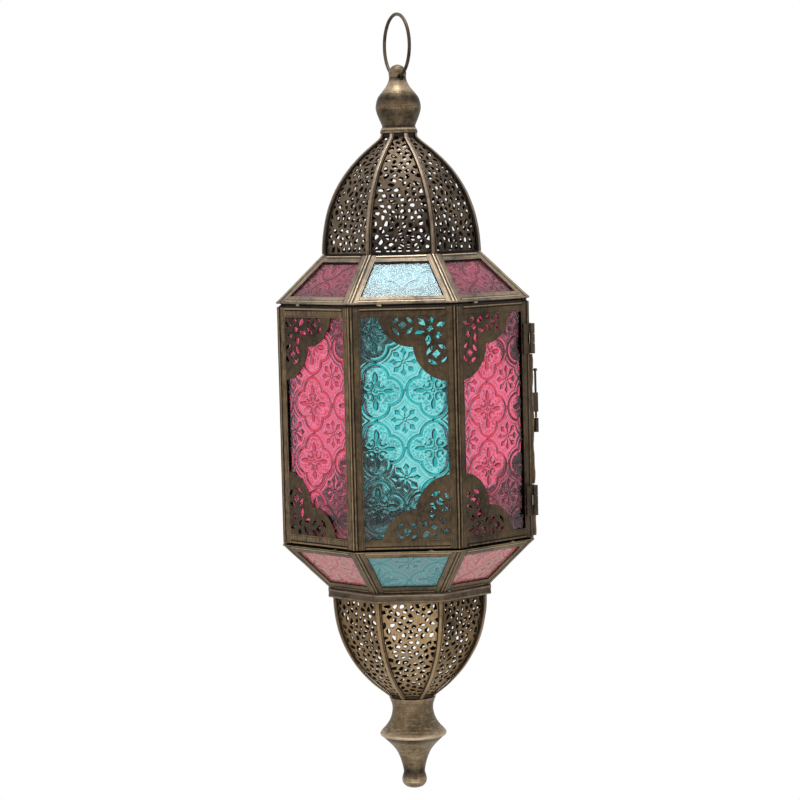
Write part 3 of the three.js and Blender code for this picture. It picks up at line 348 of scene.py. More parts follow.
# Materials
class Tree:
    """The node tree of a material or of the world, with a short call for each kind of node used often."""
    def __init__(self, owner):
        owner.use_nodes = True
        self.nodes = owner.node_tree.nodes
        self.link = owner.node_tree.links.new

    def add(self, kind):
        return self.nodes.new("ShaderNode" + kind)

    def fill(self, socket, value):
        """Sets a socket to a number or a colour, or links another socket to it."""
        if isinstance(value, (int, float)):
            socket.default_value = value
        elif isinstance(value, tuple):
            socket.default_value = (*value, 1)
        else:
            self.link(value, socket)

    def attribute(self, name, output):
        node = self.add("Attribute")
        node.attribute_name = name
        return node.outputs[output]

    def noise(self, coordinates, scale, detail=3.0, roughness=0.5):
        """A noise whose scale is in features for each unit of the coordinates."""
        node = self.add("TexNoise")
        for socket, value in (("Scale", scale), ("Detail", detail), ("Roughness", roughness)):
            node.inputs[socket].default_value = value
        self.link(coordinates, node.inputs["Vector"])
        return node.outputs["Fac"]

    def ranged(self, value, low, high, to_low=0.0, to_high=1.0):
        """The value's stretch from low to high, spread over another range and kept inside it."""
        node = self.add("MapRange")
        for socket, limit in (("From Min", low), ("From Max", high), ("To Min", to_low), ("To Max", to_high)):
            node.inputs[socket].default_value = limit
        self.link(value, node.inputs["Value"])
        return node.outputs["Result"]

    def maths(self, operation, first, second=0.0):
        node = self.add("Math")
        node.operation = operation
        self.fill(node.inputs[0], first)
        self.fill(node.inputs[1], second)
        return node.outputs[0]

    def plus(self, first, second):
        return self.maths("ADD", first, second)

    def times(self, first, second):
        return self.maths("MULTIPLY", first, second)

    def mixed(self, factor, first, second):
        """A mix of two colours, each a colour or a socket."""
        node = self.add("Mix")
        node.data_type = "RGBA"
        self.link(factor, node.inputs[0])
        self.fill(node.inputs[6], first)
        self.fill(node.inputs[7], second)
        return node.outputs[2]

    def choice(self, factor, first, second):
        """A mix of two shaders."""
        node = self.add("MixShader")
        for number, value in enumerate((factor, first, second)):
            self.link(value, node.inputs[number])
        return node.outputs["Shader"]

    def band(self, distance, middle, half_width, softness=0.16):
        """1 within the half width of a middle distance, 0 outside it."""
        away = self.maths("ABSOLUTE", self.maths("SUBTRACT", distance, middle))
        return self.ranged(away, half_width + softness, half_width - softness)

    def bump(self, height, strength, distance, shader):
        node = self.add("Bump")
        node.inputs["Strength"].default_value = strength
        node.inputs["Distance"].default_value = distance
        self.link(height, node.inputs["Height"])
        self.link(node.outputs["Normal"], shader.inputs["Normal"])


def start_material(name):
    material = bpy.data.materials.new(name)
    tree = Tree(material)
    return material, tree, tree.nodes["Principled BSDF"]


def object_places(tree):
    return tree.add("TexCoord").outputs["Object"]


def aged_metal(name, dark, middle, light, rubbed=0.0, brushed=0.5, has_grain=True):
    """Patinated brass: dark in recesses, mottled, brushed along its grain and rubbed light on its crests. The
    painted shade and painted highlights that the shapes carry with their wear are drawn the same way.
    """
    material, tree, shader = start_material(name)
    place = object_places(tree)
    clouds = tree.noise(place, 42, 3, 0.55)
    mottle = tree.noise(place, 380, 5, 0.7)
    specks = tree.noise(place, 1500, 3, 0.7)
    if has_grain:
        stretch = tree.add("Mapping")
        stretch.inputs["Scale"].default_value = (0.12, 1.5, 1.0)
        tree.link(tree.attribute("grain", "Vector"), stretch.inputs["Vector"])
        streaks = tree.noise(stretch.outputs["Vector"], 1.0, 4, 0.65)
        wear_and_painted_light = tree.attribute("wear_and_painted_light", "Fac")
    else:
        streaks = tree.noise(place, 160, 4, 0.6)
        wear_and_painted_light = tree.maths("SUBTRACT", clouds, 0.5)
    # the ground between dark patina and bare brass, with the painted shade that the shapes carry
    ground = tree.plus(tree.times(clouds, 1.1), mottle)
    ground = tree.plus(ground, tree.times(streaks, brushed))
    ground = tree.plus(ground, tree.times(wear_and_painted_light, 0.5))
    middle_ground = 1.05 + 0.5 * brushed
    colour = tree.mixed(tree.ranged(ground, middle_ground - 0.35, middle_ground + 0.25), dark, middle)
    # rubbed crests, painted highlights and bright brush strokes
    bright = tree.plus(tree.times(wear_and_painted_light, 0.55), tree.times(streaks, 0.5 + brushed))
    bright = tree.plus(bright, tree.times(mottle, 0.5))
    bright = tree.plus(bright, tree.times(specks, 0.3))
    start = 0.9 + 0.5 * brushed - rubbed
    bright = tree.ranged(bright, start, start + 0.5)
    colour = tree.mixed(bright, colour, light)
    tree.link(colour, shader.inputs["Base Color"])
    shader.inputs["Metallic"].default_value = 0.85
    rough = tree.plus(tree.times(mottle, 0.35), tree.times(bright, -0.08))
    tree.link(tree.ranged(rough, 0.0, 0.35, 0.36, 0.62), shader.inputs["Roughness"])
    tree.bump(tree.plus(streaks, tree.times(mottle, 0.8)), 0.5, 0.00012, shader)
    return material


def coloured_glass(name, painted_shine, thin, deep, dark, milk=0.0):
    """Embossed glass, coloured by how far each place is from the rims and the motifs of the pattern, with
    painted highlights beside them and painted shade on the flanks that lean away from the light.
    """
    material, tree, shader = start_material(name)
    place = object_places(tree)
    parts = tree.add("SeparateXYZ")
    tree.link(tree.attribute("grain", "Vector"), parts.inputs[0])
    rim, motif, lean = parts.outputs
    blots = tree.noise(place, 260, 2)
    # stippled ground inside the rims, dotted with painted highlights and painted shade, and the plain field
    # outside them
    grit = tree.noise(place, 900, 1)
    inside = tree.ranged(rim, -0.9, -1.3)
    field = tree.mixed(tree.times(blots, 0.25), thin, painted_shine)
    grained = tree.mixed(tree.ranged(grit, 0.48, 0.58), field, deep)
    grained = tree.mixed(tree.ranged(grit, 0.62, 0.72, 0, 0.7), grained, dark)
    grained = tree.mixed(tree.ranged(grit, 0.45, 0.36), grained, painted_shine)
    colour = tree.mixed(tree.times(inside, 0.9), field, grained)
    # painted highlights: light lines beside the deep rim and beside each motif
    for distance, middle, half_width, strength in (
            (rim, -0.95, 0.2, 0.8), (rim, 1.75, 0.25, 0.8), (motif, 0.45, 0.25, 0.7)):
        line = tree.times(tree.band(distance, middle, half_width), strength)
        colour = tree.mixed(line, colour, painted_shine)
    # the rim's flat top, the fine line outside it and the motifs are deep in colour
    for distance, middle, half_width, strength in ((rim, 0.15, 0.75, 1.0), (rim, 2.45, 0.2, 0.7)):
        line = tree.times(tree.band(distance, middle, half_width), strength)
        colour = tree.mixed(line, colour, deep)
    colour = tree.mixed(tree.ranged(motif, 0.1, -0.15), colour, deep)
    # painted shade: flanks that face away from the light are near black, most of all where the sheet is
    # uneven
    shaded = tree.plus(tree.maths("ABSOLUTE", lean), blots)
    shaded = tree.ranged(shaded, 0.8, 1.05)
    outer = tree.times(tree.band(rim, 1.2, 0.38), shaded)
    colour = tree.mixed(outer, colour, dark)
    cut = tree.plus(lean, tree.times(blots, 0.6))
    cut = tree.times(tree.band(motif, 0.05, 0.34), tree.ranged(cut, 0.35, 0.6))
    colour = tree.mixed(cut, colour, dark)
    tree.link(colour, shader.inputs["Base Color"])
    shader.inputs["Roughness"].default_value = 0.1
    shader.inputs["IOR"].default_value = 1.45
    shader.inputs["Transmission Weight"].default_value = 1 - milk
    tree.bump(tree.noise(place, 700, 2), 0.08, 0.0002, shader)
    return material


# Each brass: its dark patina, its ground, its rubbed crests, how rubbed and how brushed it is
BODY_BRASS = aged_metal(
    "body_brass", (0.016, 0.012, 0.009), (0.105, 0.070, 0.037), (0.30, 0.21, 0.12), 0.1, 0.6)
# The roof's brass is drawn lighter than the body's: painted sheen of the light above on its up-facing bars.
ROOF_BRASS_PAINTED_SHEEN = aged_metal(
    "roof_brass_painted_sheen", (0.075, 0.062, 0.052), (0.35, 0.27, 0.18), (0.68, 0.57, 0.42), 0.1)
BASE_BRASS = aged_metal(
    "base_brass", (0.040, 0.030, 0.020), (0.21, 0.150, 0.085), (0.48, 0.37, 0.23), 0.05)
SHELL_BRASS = aged_metal(
    "shell_brass", (0.018, 0.013, 0.010), (0.130, 0.092, 0.058), (0.42, 0.33, 0.25), 0, 0.3)
BOWL_BRASS = aged_metal(
    "bowl_brass", (0.026, 0.017, 0.010), (0.20, 0.127, 0.060), (0.46, 0.34, 0.20), 0, 0.3)
TURNED_BRASS = aged_metal(
    "turned_brass", (0.024, 0.018, 0.012), (0.17, 0.118, 0.065), (0.50, 0.39, 0.26), 0.2, 0.3)
DARK_WIRE = aged_metal(
    "dark_wire", (0.026, 0.021, 0.016), (0.12, 0.086, 0.054), (0.36, 0.28, 0.19), 0, 0.5, False)
PLAIN_BRASS = aged_metal(
    "plain_brass", (0.030, 0.022, 0.015), (0.10, 0.070, 0.042), (0.28, 0.21, 0.13), 0, 0.5, False)
# Each glass: its light lines of painted highlight, its plain field, its deep lines and its near-black flanks
# of painted shade.
# The roof's and base's colours are the side's glass with painted light: the roof's teal greyer and bluer with
# a painted reflection of the light above, the roof's pink darker, and the base's greyer and browner with a
# painted reflection of the floor below.
TEAL_COLOURS_AND_PAINTED_LIGHT = {
    "side": ((0.78, 1.0, 1.0), (0.46, 0.87, 0.87), (0.0, 0.40, 0.41), (0.002, 0.025, 0.03)),
    "roof": ((0.55, 0.80, 0.86), (0.32, 0.60, 0.67), (0.20, 0.48, 0.54), (0.10, 0.30, 0.34)),
    "base": ((0.34, 0.60, 0.62), (0.23, 0.40, 0.41), (0.12, 0.48, 0.50), (0.09, 0.26, 0.27))}
PINK_COLOURS_AND_PAINTED_LIGHT = {
    "side": ((1.0, 0.70, 0.86), (0.95, 0.36, 0.52), (0.70, 0.03, 0.06), (0.05, 0.005, 0.012)),
    "roof": ((0.90, 0.45, 0.58), (0.66, 0.15, 0.26), (0.40, 0.02, 0.06), (0.03, 0.004, 0.01)),
    "base": ((0.85, 0.42, 0.40), (0.58, 0.24, 0.20), (0.80, 0.15, 0.17), (0.30, 0.08, 0.09))}
# How much of the light each tier scatters instead of letting it through
MILK = {"side": 0.0, "roof": 0.1, "base": 0.55}
TEAL = {tier: coloured_glass(f"{tier}_teal_glass", *TEAL_COLOURS_AND_PAINTED_LIGHT[tier], milk) for tier, milk in MILK.items()}
PINK = {tier: coloured_glass(f"{tier}_pink_glass", *PINK_COLOURS_AND_PAINTED_LIGHT[tier], milk) for tier, milk in MILK.items()}


def glass_of(face, tier):
    return (PINK[tier], "pink_glass") if face % 2 == 1 else (TEAL[tier], "teal_glass")


# Ring and finials
def hanging_ring():
    outward = np.array([math.cos(RING_AZIMUTH - math.pi / 2), math.sin(RING_AZIMUTH - math.pi / 2), 0])
    across = np.array([-outward[1], outward[0], 0])
    up = np.array([0, 0, 1])
    rings = []
    for turn in np.arange(96) * 2 * math.pi / 96:
        middle = RING_BEND_RADIUS * (outward * math.cos(turn) + up * math.sin(turn))
        away = middle / RING_BEND_RADIUS
        ring = [middle + RING_WIRE / 2 * (away * math.cos(a) + across * math.sin(a))
                for a in np.arange(12) * 2 * math.pi / 12]
        rings.append(np.array(ring) + [0, 0, RING_MIDDLE_Z])
    return loft(rings, 0.1, True)


def top_finial():
    foot = DOME_TOP_Z + FIT
    # The rub along the collar and pear paints a highlight on the collar's bead and on the pear's upper neck,
    # and painted shade on the pear's upper bulb and under the ball.
    knots = [(10.4, 2.5, 0.9), (10.05, 3.0, 0.5), (9.6, 3.9, -0.5), (9.9, 5.1, 0.0), (11.35, 8.5, -0.1),
             (12.6, 12.0, -0.2), (13.1, 15.5, 0.1), (12.0, 20.2, -0.5), (9.6, 23.6, 0.3), (6.9, 27.0, 0.6),
             (5.4, 30.0, 0.3), (4.95, 31.8, -0.5)]
    pear = smooth_line(knots, 5)
    ball_middle = TOP_FINIAL_HEIGHT - FIT + BALL_DROP
    ball = [(BALL_RADIUS * math.sin(a), ball_middle - BALL_RADIUS * math.cos(a), 0.2)
            for a in np.linspace(math.radians(74), math.radians(174), 12)]
    profile = [(0, -STUD_LENGTH, 0), (STUD_RADIUS, -STUD_LENGTH, 0), (STUD_RADIUS, 0, -1), (10.6, 0, -1),
               (10.95, 0.3, 0.3), (10.9, 0.9, 0.1), (10.6, 1.8, 0.0)]
    profile += [*pear, *ball, (0, ball_middle + BALL_RADIUS, 0.2)]
    return turned([(r, foot + h, wear_and_painted_light) for r, h, wear_and_painted_light in profile], 64)


def bored(piece, radius, length, place):
    """Cuts a round hole through a piece, along the place's own Z."""
    rings = [[(radius * math.cos(a), radius * math.sin(a), z) for a in np.arange(20) * math.pi / 10]
             for z in (-length / 2, length / 2)]
    tool = in_scene("bore", mesh_of("bore", loft(rings).moved(place)))
    modifier = piece.modifiers.new("bore", "BOOLEAN")
    modifier.object = tool
    modifier.operation = "DIFFERENCE"
    modifier.solver = "EXACT"
    depsgraph = bpy.context.evaluated_depsgraph_get()
    cut = bpy.data.meshes.new_from_object(piece.evaluated_get(depsgraph))
    piece.modifiers.clear()
    piece.data = cut
    cut.set_sharp_from_angle(angle=SHARP_ANGLE)
    bpy.data.objects.remove(tool)


def bottom_finial():
    top = BOWL_FOOT_Z - FIT
    drawn_height = 53.5
    share = BOTTOM_FINIAL_HEIGHT / drawn_height
    flare = smooth_line([
        (13.7, 0.3, 0.5), (13.4, 1.2, 0.2), (12.3, 4.2, 0.0), (12.0, 7.6, 0.0), (13.1, 12.3, 0.0),
        (15.4, 16.3, 0.1), (18.4, 19.6, 0.4), (19.5, 21.0, 0.8)], 6)
    lip = [(19.6, 21.5, 0.9), (19.3, 22.3, 0.6), (18.2, 23.0, -0.8)]
    stem = smooth_line([
        (17.6, 23.5, -0.3), (15.4, 25.6, 0.2), (12.4, 28.6, 0.2), (9.9, 32.0, 0.2), (8.0, 36.3, 0.1),
        (6.8, 40.6, 0.0), (6.25, 43.9, -0.5), (6.8, 46.0, 0.0), (7.3, 48.3, 0.4), (6.8, 50.6, 0.3),
        (5.0, 52.5, 0.3), (2.4, 53.4, 0.3)], 5)
    profile = [(0, -STUD_LENGTH, 0), (STUD_RADIUS, -STUD_LENGTH, 0), (STUD_RADIUS, 0, 0)]
    profile += [*flare, *lip, *stem, (0, drawn_height, 0.3)]
    return turned([(r, top - h * share, wear_and_painted_light) for r, h, wear_and_painted_light in profile], 72)


# Shells
def bezier(a, b, c, d, steps):
    """A cubic curve from a to d, with b and c as its handles."""
    t = np.linspace(0, 1, steps + 1)[:, None]
    a, b, c, d = (np.array(p, float) for p in (a, b, c, d))
    return a * (1 - t) ** 3 + 3 * b * t * (1 - t) ** 2 + 3 * c * t ** 2 * (1 - t) + d * t ** 3


class ShellCurve:
    """A curve in the plane of radius and z, with distances measured along it."""
    def __init__(self, handles):
        self.handles = handles
        self.points = bezier(*handles, CURVE_STEPS)
        t = np.linspace(0, 1, len(self.points))[:, None]
        a, b, c, d = handles
        tangents = 3 * ((b - a) * (1 - t) ** 2 + 2 * (c - b) * t * (1 - t) + (d - c) * t ** 2)
        tangents /= np.linalg.norm(tangents, axis=1)[:, None]
        side = math.copysign(1, handles[3, 1] - handles[0, 1])
        self.normals = np.stack([side * tangents[:, 1], -side * tangents[:, 0]], axis=1)
        steps = np.linalg.norm(np.diff(self.points, axis=0), axis=1)
        self.run = np.concatenate([[0], np.cumsum(steps)])
        self.length = self.run[-1]

    def at(self, distance, offset):
        """Radius and z at distances along the curve, moved out by an offset."""
        distance = np.asarray(distance, float)
        found = []
        for axis in (0, 1):
            place = np.interp(distance, self.run, self.points[:, axis])
            normal = np.interp(distance, self.run, self.normals[:, axis])
            found.append(place + offset * normal)
        return found[0], found[1]

    def on_faces(self):
        """The same curve in the middle of a face, where the octagon is narrower."""
        return ShellCurve(self.handles * [math.cos(HALF_TURN), 1])


def shell_curve(foot_radius, foot_z, shoulder, neck, top_radius, top_z):
    rise = top_z - foot_z
    return ShellCurve(np.array([
        [foot_radius, foot_z], [foot_radius * shoulder[0], foot_z + rise * shoulder[1]],
        [top_radius * neck[0], foot_z + rise * neck[1]], [top_radius, top_z]]))


def clipped(corners, normal, reach):
    """The part of a convex loop where a corner's share of the normal is at most the reach."""
    kept = []
    for i, here in enumerate(corners):
        there = corners[(i + 1) % len(corners)]
        over_here = here @ normal - reach
        over_there = there @ normal - reach
        if over_here <= 0:
            kept.append(here)
        if over_here * over_there < 0:
            kept.append(here + (there - here) * over_here / (over_here - over_there))
    return kept


def seed_places(length, half_width):
    """Uneven places for a gore's holes: rows that are shaken and then pushed apart."""
    seeds = []
    row_pitch = HOLE_PITCH * 0.8
    for row in range(int(length / row_pitch) + 1):
        y = (row + 0.5) * row_pitch
        reach = float(half_width(min(y, length))) - HOLE_MARGIN
        columns = max(1, round(2 * reach / HOLE_PITCH))
        pitch = 2 * reach / columns
        for column in range(columns):
            x = -reach + (column + (0.25 if row % 2 else 0.75)) * pitch
            seeds.append((x + random.uniform(-0.45, 0.45) * pitch, y + random.uniform(-0.5, 0.5) * row_pitch))
    seeds = np.array(seeds)
    for _ in range(3):
        offsets = seeds[:, None] - seeds[None]
        distances = np.linalg.norm(offsets, axis=2) + 100 * np.eye(len(seeds))
        push = np.clip(HOLE_PITCH * 0.92 - distances, 0, None) / distances
        seeds = seeds + 0.25 * np.sum(offsets * push[:, :, None], axis=1)
        seeds[:, 1] = np.clip(seeds[:, 1], 2.3, length - 1.8)
        reach = np.maximum(half_width(seeds[:, 1]) - 1.3 * HOLE_MARGIN, 0.1)
        seeds[:, 0] = np.clip(seeds[:, 0], -reach, reach)
    return seeds


def pierced_holes(length, half_width):
    """Leaves at uneven places and angles, each trimmed where a strut parts it from its neighbours."""
    seeds = seed_places(length, half_width)
    turn = np.arange(14) * math.pi / 7
    leaf_x, leaf_y = np.cos(turn), np.sign(np.sin(turn)) * np.abs(np.sin(turn)) ** 1.25
    holes = []
    for seed in seeds:
        flow = noise.noise(Vector((seed[0] / 13, seed[1] / 13, length)))
        angle = 5.0 * flow + random.uniform(-0.8, 0.8)
        long_half = HOLE_LENGTH / 2 * random.uniform(0.75, 1.15)
        short_half = HOLE_WIDTH / 2 * random.uniform(0.8, 1.2)
        axis = np.array([math.cos(angle), math.sin(angle)])
        cross = np.array([-axis[1], axis[0]])
        corners = list(long_half * leaf_x[:, None] * axis + short_half * leaf_y[:, None] * cross)
        offsets = seeds - seed
        distances = np.linalg.norm(offsets, axis=1)
        for offset, distance in zip(offsets, distances):
            if 0 < distance < 2.5 * HOLE_PITCH:
                corners = clipped(corners, offset / distance, (distance - HOLE_STRUT) / 2)
        for side in (-1, 1):
            edge = float(half_width(seed[1])) - HOLE_MARGIN
            corners = clipped(corners, np.array([side, 0]), edge - side * seed[0])
            end = length - HOLE_MARGIN - seed[1] if side > 0 else seed[1] - HOLE_MARGIN
            corners = clipped(corners, np.array([0, side]), end)
        if len(corners) < 4:
            continue
        loop = np.array(corners)
        following = np.roll(loop, -1, axis=0)
        area = 0.5 * np.sum(loop[:, 0] * following[:, 1] - loop[:, 1] * following[:, 0])
        if area < 0.9:
            continue
        middle = loop.mean(axis=0)
        away = loop - middle
        grown = away * (1 + HOLE_CHAMFER / np.linalg.norm(away, axis=1))[:, None]
        holes.append(((seed + middle + grown).tolist(), (seed + loop).tolist()))
    return holes


def pierced_sheet(outline, holes, is_inside, top, bottom, chamfer, edge_rub=0.3):
    """A flat sheet with chamfered holes. Each hole is (corners at the top, corners below the chamfer)."""
    loops = [list(outline)] + [list(wide) for wide, _ in holes]
    corners = [corner for loop in loops for corner in loop]
    edges, owner = [], []
    for number, loop in enumerate(loops):
        base = len(owner)
        edges += [(base + i, base + (i + 1) % len(loop)) for i in range(len(loop))]
        owner += [number] * len(loop)
    found = delaunay_2d_cdt([Vector(corner) for corner in corners], edges, [], 0, 1e-5)
    source = [ids[0] for ids in found[3]]
    kept = []
    for triangle in found[2]:
        ids = [source[i] for i in triangle]
        owners = {owner[i] for i in ids}
        if len(owners) == 1 and owners != {0}:
            continue
        x, y = np.mean([corners[i] for i in ids], axis=0)
        if owners == {0} and not is_inside(x, y):
            continue
        kept.append(tuple(ids))
    narrow = list(outline) + [corner for _, slim in holes for corner in slim]
    count, edge_count = len(corners), len(outline)
    points = [(x, y, top) for x, y in corners] + [(x, y, bottom) for x, y in narrow]
    points += [(x, y, top - chamfer) for x, y in narrow[edge_count:]]
    faces = kept + [(a + count, c + count, b + count) for a, b, c in kept]
    base = 0
    for loop in loops:
        for i in range(len(loop)):
            here, there = base + i, base + (i + 1) % len(loop)
            if base == 0:
                faces.append((there, here, here + count, there + count))
            else:
                middle = 2 * count - edge_count
                faces.append((there, here, here + middle, there + middle))
                faces.append((there + middle, here + middle, here + count, there + count))
        base += len(loop)
    wear_and_painted_light = np.zeros(len(points))
    wear_and_painted_light[edge_count:count] = edge_rub
    # painted shade on the sheet's underside
    wear_and_painted_light[count:] = PAINTED_SHADE_RUB
    wear_and_painted_light[2 * count:] = -0.5
    points = np.array(points)
    return Shape(points, facing_out(points, faces), wear_and_painted_light, points[:, [1, 0, 2]])


def pierced_gore(curve, start, end, offset, edge_gap, painted_shading):
    """A gore cut flat, pierced, and bent to the shell's curve on the front face, with painted light and shade
    that runs from foot to top.
    """
    bend = curve.on_faces()
    length = bend.length - start - end

    def half_width(y):
        return bend.at(start + np.asarray(y), offset - SHEET)[0] * math.tan(HALF_TURN) - edge_gap

    heights = np.linspace(0, length, int(length / 2.2))
    widths = half_width(heights)
    outline = list(zip(widths, heights)) + list(zip(-widths[::-1], heights[::-1]))
    holes = pierced_holes(length, half_width)
    flat = pierced_sheet(outline, holes, lambda x, y: abs(x) < half_width(y), 0, -SHEET, HOLE_CHAMFER)
    radius, z = bend.at(start + flat.points[:, 1], 0)
    normal_r = np.interp(start + flat.points[:, 1], bend.run, bend.normals[:, 0])
    normal_z = np.interp(start + flat.points[:, 1], bend.run, bend.normals[:, 1])
    height = offset + flat.points[:, 2]
    bent = np.stack([flat.points[:, 0], -(radius + height * normal_r), z + height * normal_z], axis=1)
    wear_and_painted_light = flat.wear_and_painted_light + np.interp(flat.points[:, 1] / length, (0, 1), painted_shading)
    return Shape(bent, facing_out(bent, flat.faces), wear_and_painted_light, flat.grain)


def shell_rib(curve, corner, painted_shading):
    """A flat rib over the seam of two gores: a painted highlight on its left part, painted shade in the fold
    on its right and on its underside, and painted light and shade along its length.
    """
    outward, sideways = corner_axes(corner)
    section = [
        (-1, -RIB_THICKNESS, PAINTED_SHADE_RUB), (-1, -0.5, -1.2), (-0.88, -0.1, 0.1), (-0.6, 0, 0.6), (0.0, 0.0, 0.5),
        (0.3, -0.08, 0.1), (0.42, -0.25, -1.2), (0.6, -0.2, -0.4), (0.85, -0.15, 0.2), (1, -0.6, -1.2),
        (1, -RIB_THICKNESS, PAINTED_SHADE_RUB)]
    rings, wear_and_painted_lights = [], []
    for distance in np.linspace(0, curve.length, 44):
        share = distance / curve.length
        half = (RIB_FOOT_WIDTH * (1 - share) + RIB_TOP_WIDTH * share) / 2
        ring = []
        for across, height, _ in section:
            radius, z = curve.at(distance, height)
            ring.append(outward * float(radius) + sideways * across * half + [0, 0, float(z)])
        rings.append(ring)
        wear_and_painted_lights.append([wear_and_painted_light + painted_shading[0] * (1 - share) + painted_shading[1] * share for _, _, wear_and_painted_light in section])
    return uneven(loft(rings, wear_and_painted_lights), 9, 0.12)


def octagonal_ring(section, steps=10):
    """A ring round the octagon from a section of [apothem, z, wear and painted light]."""
    rings = []
    for corner in range(FACES):
        here, _ = corner_axes(corner)
        there, _ = corner_axes(corner + 1)
        for step in range(steps):
            direction = here + (there - here) * step / steps
            rings.append([direction * apothem / math.cos(HALF_TURN) + [0, 0, z] for apothem, z, _ in section])
    return loft(rings, [wear_and_painted_light for _, _, wear_and_painted_light in section], True)


def flat_ring(outer, width, low, high):
    """A plain ring that lies in the dark, drawn dark with painted shade."""
    inner = outer - width
    section = [(outer, low), (outer, high), (inner, high), (inner, low)]
    return octagonal_ring([(*corner, PAINTED_SHADE_RUB) for corner in section])


def end_plate(first, last, radius):
    """The round plate that closes a shell, between two heights, drawn dark with painted shade."""
    section = [(0, first), (radius, first), (radius, last), (0, last)]
    return turned([(*corner, PAINTED_SHADE_RUB) for corner in section], 48)


# Painted light and shade on each face's gores: at the foot and top of the dome, and at the mouth and foot of
# the bowl; the ribs get theirs at the start and end of their curve
DOME_PAINTED_SHADING = [(-0.7, 0.35), (-0.6, 0.3), (-0.3, 0.3), (0, 0.3), (0, 0), (0.2, 0), (0, 0.3), (0.05, 0.2)]
BOWL_PAINTED_SHADING = [(0.2, 0.7), (-0.5, 0.5), (0, 0.4), (0, 0.3), (0.2, 0.3), (0, 0.2), (0.1, 0.3), (-0.1, 0.6)]
RIB_PAINTED_SHADING = (-0.1, 0.8)


def add_shell(name, curve, flange, plate, end_gap, painted_shadings, brass, cage_node, has_gore_nodes):
    """A shell's ribs, flange and end plate in one piece, and its eight gores."""
    cage = [shell_rib(curve, corner, RIB_PAINTED_SHADING) for corner in range(FACES)] + [flange, plate]
    add_piece(f"{name}_cage_look", merged(cage), "lantern", brass, [cage_node])
    for face in range(FACES):
        gore = pierced_gore(curve, FIT, end_gap, -RIB_THICKNESS - FIT / 2, FIT / 2, painted_shadings[face])
        gore = gore.moved(Matrix.Rotation(face * FACE_TURN, 4, "Z"))
        stands_for = [f"{name}_gore_{face + 1}"] if has_gore_nodes else []
        add_piece(f"{name}_gore_look_{face + 1}", gore, "lantern", brass, stands_for)


def add_shells():
    inside = RIB_THICKNESS + FIT + SHEET
    width = FLANGE_WIDTH - inside
    low = DOME_BASE_Z + FIT
    curve = shell_curve(DOME_BASE_RADIUS, low, DOME_SHOULDER, DOME_NECK, DOME_TOP_RADIUS, DOME_TOP_Z)
    flange = flat_ring(DOME_BASE_RADIUS * math.cos(HALF_TURN) - inside, width, low, low + FLANGE_THICKNESS)
    crown = end_plate(DOME_TOP_Z - END_PLATE, DOME_TOP_Z - 0.05, DOME_TOP_RADIUS - 0.6)
    add_shell("dome", curve, flange, crown, FIT / 2, DOME_PAINTED_SHADING, SHELL_BRASS, "dome_cage", True)
    high = BAND_BOTTOM_Z - FIT
    curve = shell_curve(BOWL_TOP_RADIUS, high, BOWL_SHOULDER, BOWL_NECK, BOWL_FOOT_RADIUS, BOWL_FOOT_Z)
    mouth = flat_ring(BOWL_TOP_RADIUS * math.cos(HALF_TURN) - inside, width, high - FLANGE_THICKNESS, high)
    foot = end_plate(BOWL_FOOT_Z + END_PLATE, BOWL_FOOT_Z, BOWL_FOOT_RADIUS - 1)
    add_shell("bowl", curve, mouth, foot, END_PLATE / 2, BOWL_PAINTED_SHADING, BOWL_BRASS, "bowl", False)


# Channels, brackets and panes
def crossing(outline, side, inset, other, other_inset):
    """Where a line inside one side of an outline meets a line inside another."""
    normals, reaches = [], []
    for number, distance in ((side, inset), (other, other_inset)):
        start, end = outline[number % 4], outline[(number + 1) % 4]
        along = (end - start) / np.linalg.norm(end - start)
        normal = np.array([-along[1], along[0]])
        normals.append(normal)
        reaches.append(normal @ start + distance)
    return np.linalg.solve(normals, reaches)


